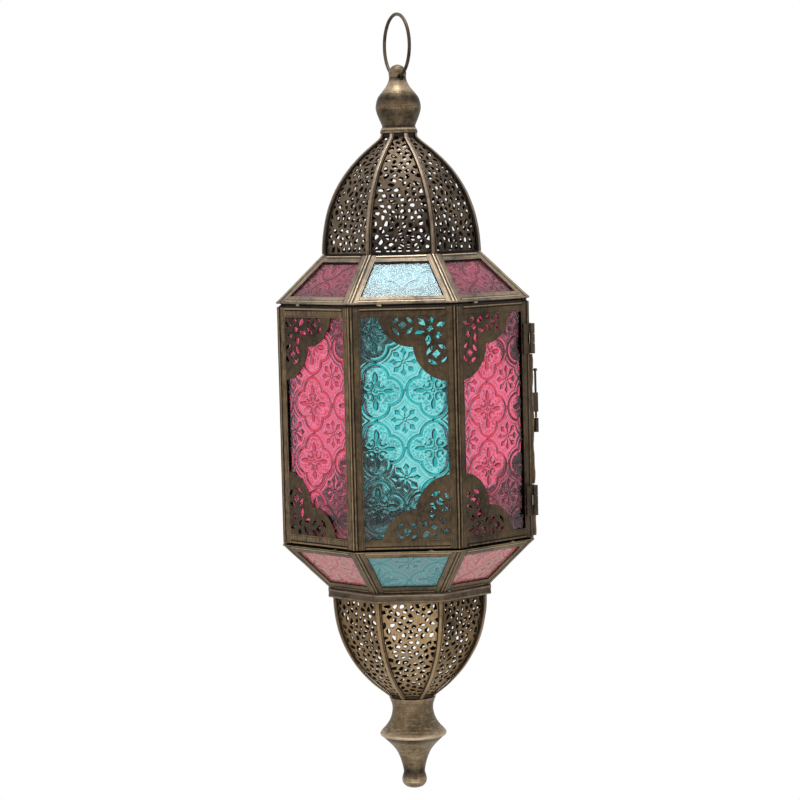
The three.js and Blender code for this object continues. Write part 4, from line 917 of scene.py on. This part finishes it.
def channel(outline, width, edge_gap, slope, seed, painted_shine=0.0):
    """The folded channel round a pane: two posts over its whole height, and two rails between them."""
    def edge_at(depth):
        return edge_gap + depth * slope

    web = width - GROOVE_REACH
    # The groove and the back of the section get painted shade, and the lip's inner wall a painted shadow of
    # the lip.
    section = [
        (edge_at(0.8), 0.8, -1.0), (0.45, 0.35, -0.6), (0.7, 0.06, 0.3), (1.0, 0.0, CREST_RUB),
        (1.5, 0.06, 0.3), (1.8, 0.5, -1.6), (2.15, 0.45, -0.9), (2.4, 0.32, 0.0), (width - 1.1, 0.34, 0.05),
        (width - 0.8, 0.42, -0.5), (width - 0.5, 0.36, 0.0), (width - 0.15, 0.4, 0.3), (width, 0.62, -0.4),
        (width, GROOVE_FRONT, -1.5),
        (web, GROOVE_FRONT, PAINTED_SHADE_RUB), (web, GROOVE_BACK, PAINTED_SHADE_RUB), (width, GROOVE_BACK, PAINTED_SHADE_RUB),
        (width, CHANNEL_DEPTH, PAINTED_SHADE_RUB), (edge_at(CHANNEL_DEPTH), CHANNEL_DEPTH, PAINTED_SHADE_RUB)]
    bars = []
    for side in range(4):
        is_post = side % 2 == 1
        starts, ends = [], []
        for inset, depth, _ in section:
            end_inset = edge_at(depth) if is_post else width + 0.12
            starts.append([*crossing(outline, side, inset, side + 3, end_inset), -depth])
            ends.append([*crossing(outline, side, inset, side + 1, end_inset), -depth])
        starts, ends = np.array(starts), np.array(ends)
        steps = max(2, int(np.linalg.norm(ends[0] - starts[0]) / 5))
        rings = [starts + (ends - starts) * step / steps for step in range(steps + 1)]
        # a painted highlight along the top rail's crest
        crest = TOP_RAIL_PAINTED_HIGHLIGHT if side == 2 else 0.0
        # the face's painted shine lightens or darkens the whole channel
        wear_and_painted_lights = [wear_and_painted_light + painted_shine + (crest if wear_and_painted_light == CREST_RUB else 0) for _, _, wear_and_painted_light in section]
        bar = loft(rings, wear_and_painted_lights)
        if not is_post:
            # the patina was brushed on up and down, across the rails
            bar.grain[:, [0, 1]] = bar.grain[:, [1, 0]]
        bars.append(bar)
    shape = merged(bars)
    shape.grain[:, 2] += seed * 31.7
    return shape


BRACKET_RAIL_LENGTH = 38
BRACKET_POST_LENGTH = 36
BRACKET_CUSP = (18.6, 16.6)
BRACKET_THICKNESS = 0.4
# The bracket's holes, with x along the rail and y along the post: x, y, length, width and angle in degrees
BRACKET_LEAVES = [
    (28.0, 7.5, 6.2, 2.3, 130), (20.5, 7.6, 6.2, 2.3, 41), (20.2, 1.3, 5.0, 2.2, 134),
    (27.9, 1.1, 5.0, 2.2, 42), (14.7, 8.6, 5.6, 2.9, 10), (13.5, 2.7, 5.8, 3.2, 135),
    (2.8, 4.2, 5.6, 2.8, 17), (10.0, 12.8, 6.0, 3.2, 83), (9.4, 18.6, 6.0, 2.4, 56),
    (2.2, 16.8, 5.2, 2.3, 152), (7.9, 25.2, 6.2, 2.4, 151), (1.3, 23.8, 4.8, 2.3, 53)]
BRACKET_DIAMONDS = [(24.2, 4.2, 5.0), (5.4, 20.8, 5.0), (8.9, 6.6, 3.9), (4.2, 10.4, 4.0), (7.9, 1.0, 3.4)]


def leaf_corners(x, y, length, width, degrees, growth):
    """A pointed leaf as ten corners."""
    angle = math.radians(degrees)
    half = length / 2 + 1.6 * growth
    corners = [(half, 0)]
    for share, girth in ((0.55, 0.62), (0.0, 1.0), (-0.55, 0.62)):
        corners.append((half * share, (width / 2 + growth) * girth))
    corners.append((-half, 0))
    corners += [(u, -v) for u, v in corners[3:0:-1]]
    c, s = math.cos(angle), math.sin(angle)
    return [(x + u * c - v * s, y + u * s + v * c) for u, v in corners]


def bracket():
    """The pierced bracket in the corner of a panel's window, with x along the rail and y along the post."""
    root = -GROOVE_REACH / 2
    cusp_x, cusp_y = BRACKET_CUSP
    rail_lobe = bezier((BRACKET_RAIL_LENGTH, 0), (35.6, 9.5), (29, cusp_y), BRACKET_CUSP, 12)
    post_lobe = bezier(BRACKET_CUSP, (cusp_x - 0.6, 26), (10.5, 34.9), (0, BRACKET_POST_LENGTH), 12)
    outline = [(root, root), (BRACKET_RAIL_LENGTH, root), *map(tuple, rail_lobe), *map(tuple, post_lobe[1:]),
               (root, BRACKET_POST_LENGTH)]
    chamfer = 0.12
    holes = []
    for x, y, length, width, degrees in BRACKET_LEAVES:
        y = max(y, 1.6)
        holes.append(tuple(leaf_corners(x, y, length, width, degrees, growth) for growth in (chamfer, 0)))
    for x, y, size in BRACKET_DIAMONDS:
        y = max(y, 1.8)
        pair = []
        for growth in (chamfer, 0):
            half = size / 2 + growth
            skew = 0.1 * half
            pair.append([(x + half, y), (x + skew, y + half), (x - half, y), (x - skew, y - half)])
        holes.append(tuple(pair))
    assert all(np.min(wide) > root for wide, _ in holes), "a hole leaves the bracket"

    def is_inside(x, y):
        lobe = rail_lobe if x > cusp_x else post_lobe
        return y < np.interp(x, lobe[::-1, 0], lobe[::-1, 1])

    top = -LIP_DROP - (LIP_THICKNESS - BRACKET_THICKNESS) / 2
    return pierced_sheet(outline, holes, is_inside, top, top - BRACKET_THICKNESS, chamfer, -0.1)


def panel_frame(side, seed, painted_shine):
    """A panel's channel with a bracket in its top and bottom corner on one side."""
    outline = symmetric_outline(PANEL_WIDTH, PANEL_WIDTH, PANEL_HEIGHT)
    shapes = [channel(outline, PANEL_CHANNEL_WIDTH, FIT / 2, mitre_slope(math.pi / 2), seed, painted_shine)]
    window_x = PANEL_WIDTH / 2 - PANEL_CHANNEL_WIDTH
    for corner_y, up in ((PANEL_HEIGHT - PANEL_CHANNEL_WIDTH, 1), (PANEL_CHANNEL_WIDTH, -1)):
        place = Matrix.Translation((side * window_x, corner_y, 0)) @ Matrix.Diagonal((-side, -up, 1, 1))
        shapes.append(bracket().moved(place))
    return merged(shapes)


def bump_line(distance, middle, half_width):
    """A smooth ridge, 1 along its middle and 0 at its feet."""
    share = np.clip(np.abs(distance - middle) / half_width, 0, 1)
    return (1 - share ** 2) ** 2


def mirrored(x, y, turn):
    """Places folded into one sector about the axes, as distances along the nearest axis and across it."""
    distance = np.hypot(x, y)
    angle = np.arctan2(y, x)
    folded = (angle + turn / 2) % turn - turn / 2
    return distance * np.cos(folded), distance * np.sin(np.abs(folded))


def emboss(x, y):
    """Height of the embossing in millimetres, and distances from its rims and from its motifs, at places."""
    grid = EMBOSS_GRID
    qx = (x + grid / 2) % grid - grid / 2
    qy = (y + grid / 2) % grid - grid / 2
    # quatrefoil: four lobes round a middle, with a broad rim and a fine line beside it
    lobe, reach = 0.222 * grid, 0.232 * grid
    rim = np.hypot(qx, qy) - 0.25 * grid
    for cx, cy in ((reach, 0), (-reach, 0), (0, reach), (0, -reach)):
        rim = np.minimum(rim, np.hypot(qx - cx, qy - cy) - lobe)
    # bosses where two quatrefoils touch
    motif = np.minimum(np.hypot(np.abs(qx) - grid / 2, qy), np.hypot(qx, np.abs(qy) - grid / 2)) - 0.75
    # the cross in the quatrefoil: long petals on its axes, scrolls between them and a ring in the middle
    along, across = mirrored(qx, qy, math.pi / 2)
    petal = (np.hypot((along - 7.6) / 2.9, across / 1.25) - 1) * 1.1
    stalk = np.maximum(across - 0.3, np.abs(along - 3.4) - 1.6)
    middle_ring = np.abs(np.hypot(qx, qy) - 0.95) - 0.3
    cx, cy = np.abs(qx) - 3.4, np.abs(qy) - 3.4
    scroll = np.maximum(np.abs(np.hypot(cx, cy) - 1.9) - 0.6, 0.7 * (cx + cy) - 0.9)
    for shape in (petal, stalk, middle_ring, scroll):
        motif = np.minimum(motif, shape)
    # the eight-petalled flower in the middle of each cell
    fx, fy = x % grid - grid / 2, y % grid - grid / 2
    along, across = mirrored(fx, fy, math.pi / 4)
    head = (np.abs(along - 5.8) / 2.1 + across / 1.5 - 1) * 1.15
    inner_petal = np.maximum(across * 1.3 - 0.36, np.abs(along - 3.0) - 1.15)
    heart = np.abs(np.hypot(fx, fy) - 1.0) - 0.3
    for shape in (head, inner_petal, heart):
        motif = np.minimum(motif, shape)
    height = 0.42 * bump_line(rim, 0.2, 1.1) + 0.18 * bump_line(rim, 2.45, 0.6)
    height += 0.34 * np.clip(0.5 - motif / 0.7, 0, 1)
    return height, rim, motif


def embossed_pane(outline, width, face, top_y, relief):
    """A pane whose front carries the embossing. Its grid narrows with the outline."""
    inner = inset_outline(outline, width - GROOVE_REACH + FIT)
    low, high = inner[0, 1], inner[2, 1]
    rows = int((high - low) / EMBOSS_STEP)
    columns = int(max(inner[1, 0], inner[2, 0]) * 2 / EMBOSS_STEP)
    share = np.linspace(0, 1, rows + 1)[:, None]
    half = inner[1, 0] + (inner[2, 0] - inner[1, 0]) * share
    x = half * np.linspace(-1, 1, columns + 1)[None]
    y = np.broadcast_to(low + (high - low) * share, x.shape)
    place_x, place_y = EMBOSS_PLACES[face]
    height, rim, motif = emboss(x - place_x, y - (top_y - place_y))
    # which way each flank faces, for the glass's painted shade: 1 away from the window's light, -1 into it
    slope_y, slope_x = np.gradient(height, EMBOSS_STEP)
    lean = np.clip(2.6 * (0.65 * slope_x - 0.75 * slope_y), -1, 1)
    front = np.stack([x, y, -GLASS_FRONT - 0.2 + relief * height], axis=2).reshape(-1, 3)
    across = columns + 1
    index = np.arange(len(front)).reshape(rows + 1, across)
    quads = np.stack([index[:-1, :-1], index[:-1, 1:], index[1:, 1:], index[1:, :-1]], axis=2).reshape(-1, 4)
    border = np.concatenate([index[0], index[1:, -1], index[-1, -2::-1], index[-2:0:-1, 0]])
    back = front[border].copy()
    back[:, 2] = -GLASS_FRONT - GLASS_THICKNESS
    first_back = len(front)
    faces = [tuple(quad) for quad in quads]
    count = len(border)
    for i in range(count):
        j = (i + 1) % count
        faces.append((border[j], border[i], first_back + i, first_back + j))
    faces.append(tuple(range(first_back, first_back + count))[::-1])
    points = np.concatenate([front, back])
    pattern = np.stack([rim, motif, lean], axis=2).reshape(-1, 3)
    # the back is plain: far from every rim and motif
    pattern = np.concatenate([pattern, np.tile([9.0, 9.0, 0.0], (count, 1))])
    return Shape(points, faces, 0, pattern)


def sloping_place(low_apothem, low_z, high_apothem, high_z):
    run, rise = low_apothem - high_apothem, high_z - low_z
    bottom = 2 * low_apothem * math.tan(HALF_TURN)
    top = 2 * high_apothem * math.tan(HALF_TURN)
    outline = symmetric_outline(bottom, top, math.hypot(run, rise))
    return low_apothem, low_z, math.atan2(rise, run), outline


def solder_tab(face, side, low, high):
    """A lump of solder that bridges a gap."""
    middle = (low + high) / 2
    reach = (high - low) / 2
    rings = []
    for step in range(1, 8):
        angle = math.pi * step / 8
        girth = math.sin(angle)
        height = -TAB_OVERLAP * reach * math.cos(angle)
        ring = [(TAB_HALF_WIDTH * girth * math.cos(a), -TAB_PROUD * girth * math.sin(a), height)
                for a in np.arange(12) * math.pi / 6]
        rings.append(ring)
    lump = uneven(loft(rings, 0.3), 1.7, 0.5)
    place = Matrix.Translation((side * TAB_OFFSET, TAB_DEPTH - BODY_APOTHEM, middle))
    return lump.moved(Matrix.Rotation(face * FACE_TURN, 4, "Z") @ place)


def add_sloping_tier(tier, place, rim, strip, gap, tab_side, brass):
    """The roof or the base: its channels with their rim, a dark strip of painted shade and solder tabs, and
    its panes.
    """
    apothem, z, lean, outline = place
    shapes = [octagonal_ring(rim), strip]
    for face in range(FACES):
        on_face = panel_place(face, apothem, z, lean)
        frame_shape = channel(outline, SLOPE_CHANNEL_WIDTH, -0.07, mitre_slope(lean), face + 10)
        shapes.append(uneven(frame_shape.moved(on_face), 6, 0.16))
        shapes.append(solder_tab(face, tab_side, *gap))
        material, slot = glass_of(face, tier)
        pane_shape = embossed_pane(outline, SLOPE_CHANNEL_WIDTH, face, outline[2, 1] + 20, SLOPE_RELIEF)
        name = f"{tier}_glass"
        add_piece(f"{name}_look_{face + 1}", pane_shape.moved(on_face), "lantern", material,
                  [f"{name}_{face + 1}"])
    name = f"{tier}_frame"
    add_piece(f"{name}_look", merged(shapes), "lantern", brass, [name])


def painted_shade_strip(low, high):
    """A strip drawn dark with painted shade behind a gap."""
    return flat_ring(BODY_APOTHEM - CHANNEL_DEPTH - 0.7, 0.5, low, high)


# Painted light on each face's body frame: how much lighter or darker it is drawn
FRAME_PAINTED_SHINES = [0, -0.05, 0, 0.2, 0.1, 0, 0.2, 0.4]


def add_body():
    roof = sloping_place(BODY_APOTHEM, ROOF_RIM_Z, ROOF_TOP_APOTHEM, DOME_BASE_Z)
    base = sloping_place(BASE_FOOT_APOTHEM, BASE_FOOT_Z, BODY_APOTHEM, BASE_TOP_Z)
    outer, inner = BODY_APOTHEM + RIM_OVERHANG, BODY_APOTHEM - RIM_WIDTH
    # The rims' inner parts get painted shade.
    roof_rim = [
        (outer, ROOF_RIM_Z - ROOF_RIM, -0.6), (outer, ROOF_RIM_Z, 0.3), (inner, ROOF_RIM_Z, PAINTED_SHADE_RUB),
        (inner, ROOF_RIM_Z - ROOF_RIM, PAINTED_SHADE_RUB)]
    base_rim = [
        (outer, BASE_TOP_Z, -0.4), (outer, BASE_TOP_Z + BASE_RIM, 0.8),
        (inner, BASE_TOP_Z + BASE_RIM, PAINTED_SHADE_RUB), (inner, BASE_TOP_Z, PAINTED_SHADE_RUB)]
    roof_shade_strip = painted_shade_strip(PANEL_TOP_Z - 2.5, ROOF_RIM_Z - 0.2)
    base_shade_strip = painted_shade_strip(BASE_TOP_Z + 0.2, PANEL_BOTTOM_Z + 2.5)
    roof_gap = (PANEL_TOP_Z + FIT, ROOF_RIM_Z - ROOF_RIM / 2)
    base_gap = (BASE_TOP_Z, PANEL_BOTTOM_Z - FIT)
    add_sloping_tier("roof", roof, roof_rim, roof_shade_strip, roof_gap, -1, ROOF_BRASS_PAINTED_SHEEN)
    add_sloping_tier("base", base, base_rim, base_shade_strip, base_gap, 1, BASE_BRASS)
    upright = math.pi / 2
    outline = symmetric_outline(PANEL_WIDTH, PANEL_WIDTH, PANEL_HEIGHT)
    for face in range(FACES):
        is_door = face == DOOR_FACE
        body = "door" if is_door else "lantern"
        number = face + 1
        frame_name = "door_frame" if is_door else f"side_frame_{number}"
        glass_name = "door_glass" if is_door else f"side_glass_{number}"
        place = panel_place(face, BODY_APOTHEM, PANEL_BOTTOM_Z, upright)
        side = -1 if face % 2 == 1 else 1
        frame_shape = panel_frame(side, face, FRAME_PAINTED_SHINES[face])
        if is_door:
            frame_shape = merged([frame_shape, door_lip()])
        frame_shape = uneven(frame_shape.moved(place), 8, 0.07)
        add_piece(f"{frame_name}_look", frame_shape, body, BODY_BRASS, [frame_name])
        material, slot = glass_of(face, "side")
        pane_shape = embossed_pane(outline, PANEL_CHANNEL_WIDTH, face, PANEL_HEIGHT, PANEL_RELIEF)
        add_piece(f"{glass_name}_look", pane_shape.moved(place), body, material, [glass_name])


def door_lip():
    """The door's outer fold beside its hinges, between them and below them."""
    near, far = -PANEL_WIDTH / 2 + 2.1, -PANEL_WIDTH / 2 + 3.6
    upper_hinge = PANEL_HEIGHT - HINGE_INSET - HINGE_HEIGHT / 2 - 0.6
    lower_hinge = HINGE_INSET + HINGE_HEIGHT / 2 + 0.6
    lips = []
    for low, high in ((lower_hinge, upper_hinge), (0.8, HINGE_INSET - HINGE_HEIGHT / 2 - 0.6)):
        rings = []
        for y in np.linspace(low, high, 24):
            proud = LIP_PROUD + 0.25 * math.sin(y * 0.21) + 0.15 * math.sin(y * 0.57)
            rings.append([(near, y, -0.4), (near + 0.2, y, proud - 0.3), (near + 0.6, y, proud),
                          (far, y, proud - 0.2), (far + 0.1, y, -0.4)])
        lips.append(loft(rings, [-0.3, 0.3, 0.8, 0.1, -0.6]))
    return merged(lips)


def add_band():
    top = BASE_FOOT_Z - FIT
    inner = BAND_APOTHEM - BAND_WALL
    ledge = inner - BAND_LEDGE
    section = [
        (BAND_APOTHEM - 0.5, top, 0.6), (BAND_APOTHEM, top - 0.5, 0.9), (BAND_APOTHEM - 0.25, top - 1.6, 0),
        (BAND_APOTHEM - 0.25, BAND_BOTTOM_Z + 1.4, -0.1), (BAND_APOTHEM, BAND_BOTTOM_Z + 0.5, 0.8),
        (BAND_APOTHEM - 0.5, BAND_BOTTOM_Z, 0.3), (ledge, BAND_BOTTOM_Z, 0),
        (ledge, BAND_BOTTOM_Z + BAND_LEDGE_HEIGHT, 0), (inner, BAND_BOTTOM_Z + BAND_LEDGE_HEIGHT, 0),
        (inner, top, 0)]
    band = uneven(octagonal_ring(section), 7, 0.22)
    add_piece("bowl_band_look", band, "lantern", SHELL_BRASS, ["bowl_band"])


def dress_plain_nodes():
    """The CAD nodes whose shapes are right keep them, and get the finish."""
    names = ["crown_nut", "foot_nut", "candle_tray", "candle_cup", "latch_pin"]
    names += [f"latch_{part}_knuckle" for part in ("door", "post")]
    names += [f"{place}_hinge_{part}_leaf" for place in ("upper", "lower") for part in ("post", "door")]
    for name in names:
        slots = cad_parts[name].material_slots
        for slot in slots:
            slot.material = PLAIN_BRASS
        if not slots:
            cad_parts[name].data.materials.append(PLAIN_BRASS)


# Stage: camera, lamps, floor and background
CAMERA_PLACE = (9.9, -1498.7, -103.4)
CAMERA_YAW = 0.0087
CAMERA_PITCH = 0.0793
CAMERA_ROLL = -0.0246
CAMERA_FOCAL_PIXELS = 2572.9
PICTURE_WIDTH = 800
SENSOR_WIDTH = 36
FLOOR_Z = -0.80
FLOOR_REACH = 6
SHADOW_REACH = 0.9
# How strongly the white background lights the scene, where a ray doesn't see it directly
FILL_STRENGTH = 0.45


def add_camera():
    data = bpy.data.cameras.new("camera")
    data.sensor_width = SENSOR_WIDTH
    data.lens = SENSOR_WIDTH * CAMERA_FOCAL_PIXELS / PICTURE_WIDTH
    camera = in_scene("camera", data)
    level = math.cos(CAMERA_PITCH)
    forward = Vector((-math.sin(CAMERA_YAW) * level, math.cos(CAMERA_YAW) * level, -math.sin(CAMERA_PITCH)))
    right = forward.cross(Vector((0, 0, 1))).normalized()
    up = right.cross(forward)
    c, s = math.cos(CAMERA_ROLL), math.sin(CAMERA_ROLL)
    axes = [c * right + s * up, c * up - s * right, -forward]
    matrix = Matrix(axes).transposed().to_4x4()
    matrix.translation = Vector(CAMERA_PLACE) * MM
    camera.matrix_world = matrix
    bpy.context.scene.camera = camera


def add_softbox(name, place, aim, width, height, radiance):
    """An area lamp of the given radiance, pointed at a place."""
    data = bpy.data.lights.new(name, "AREA")
    data.shape = "RECTANGLE"
    data.size = width
    data.size_y = height
    data.energy = radiance * math.pi * width * height
    lamp = in_scene(name, data)
    lamp.location = place
    lamp.rotation_mode = "QUATERNION"
    lamp.rotation_quaternion = (Vector(aim) - Vector(place)).to_track_quat("-Z", "Y")
    lamp.visible_camera = False


def seen_directly(tree):
    """1 for rays from the camera and for those that metal or glass sends on, 0 for diffuse light."""
    path = tree.add("LightPath")
    seen = tree.maths("MAXIMUM", path.outputs["Is Camera Ray"], path.outputs["Is Glossy Ray"])
    return tree.maths("MAXIMUM", seen, path.outputs["Is Transmission Ray"])


def add_stage():
    bpy.context.scene.view_settings.view_transform = "Standard"
    world = bpy.data.worlds.new("studio")
    bpy.context.scene.world = world
    tree = Tree(world)
    tree.nodes.clear()
    lights = []
    for strength in (FILL_STRENGTH, 1):
        light = tree.add("Background")
        light.inputs["Color"].default_value = (1, 1, 1, 1)
        light.inputs["Strength"].default_value = strength
        lights.append(light.outputs["Background"])
    light = tree.choice(seen_directly(tree), *lights)
    tree.link(light, tree.add("OutputWorld").inputs["Surface"])

    mesh = bpy.data.meshes.new("floor")
    corners = [(x * FLOOR_REACH, y * FLOOR_REACH, 0) for x, y in ((-1, -1), (1, -1), (1, 1), (-1, 1))]
    mesh.from_pydata(corners, [], [(0, 1, 2, 3)])
    floor = in_scene("floor", mesh)
    floor.location = (0, 0, FLOOR_Z)
    material, tree, shader = start_material("floor_white")
    shader.inputs["Base Color"].default_value = (0.86, 0.86, 0.86, 1)
    shader.inputs["Roughness"].default_value = 0.9
    shader.inputs["Specular IOR Level"].default_value = 0.1
    glow = tree.add("Emission")
    glow.inputs["Color"].default_value = (1, 1, 1, 1)
    glow.inputs["Strength"].default_value = 1.0
    # plain white away from the lantern's foot, with a soft shadow under it
    place = object_places(tree)
    middle = tree.add("VectorMath")
    middle.operation = "LENGTH"
    tree.link(place, middle.inputs[0])
    away = tree.ranged(middle.outputs["Value"], 0.05, SHADOW_REACH, 0.72, 1.0)
    seen = tree.times(seen_directly(tree), away)
    look = tree.choice(seen, shader.outputs["BSDF"], glow.outputs["Emission"])
    tree.link(look, tree.nodes["Material Output"].inputs["Surface"])
    mesh.materials.append(material)

    add_softbox("top_softbox", (0.0, -0.1, 0.95), (0, 0, -0.2), 0.5, 0.5, 9)
    add_softbox("left_softbox", (-1.1, -1.2, 0.35), (0, 0, -0.2), 0.7, 0.9, 2.2)
    add_softbox("right_softbox", (1.3, -0.9, 0.2), (0, 0, -0.2), 0.5, 0.9, 1.6)
    add_softbox("low_fill", (0.0, -0.5, FLOOR_Z + 0.02), (0, 0, -0.3), 0.8, 0.8, 1.6)


add_piece("hanging_ring_look", hanging_ring(), "ring", DARK_WIRE, ["hanging_ring"])
top_piece = add_piece("top_finial_look", top_finial(), "lantern", TURNED_BRASS, ["top_finial"])
eye_place = Matrix.Translation((0, 0, EYE_Z)) @ Matrix.Rotation(RING_AZIMUTH, 4, "Z") @ Matrix.Rotation(
    math.pi / 2, 4, "X")
bored(top_piece, EYE_RADIUS, 30, eye_place)
add_piece("bottom_finial_look", bottom_finial(), "lantern", TURNED_BRASS, ["bottom_finial"])
add_shells()
add_body()
add_band()
dress_plain_nodes()
add_camera()
add_stage()
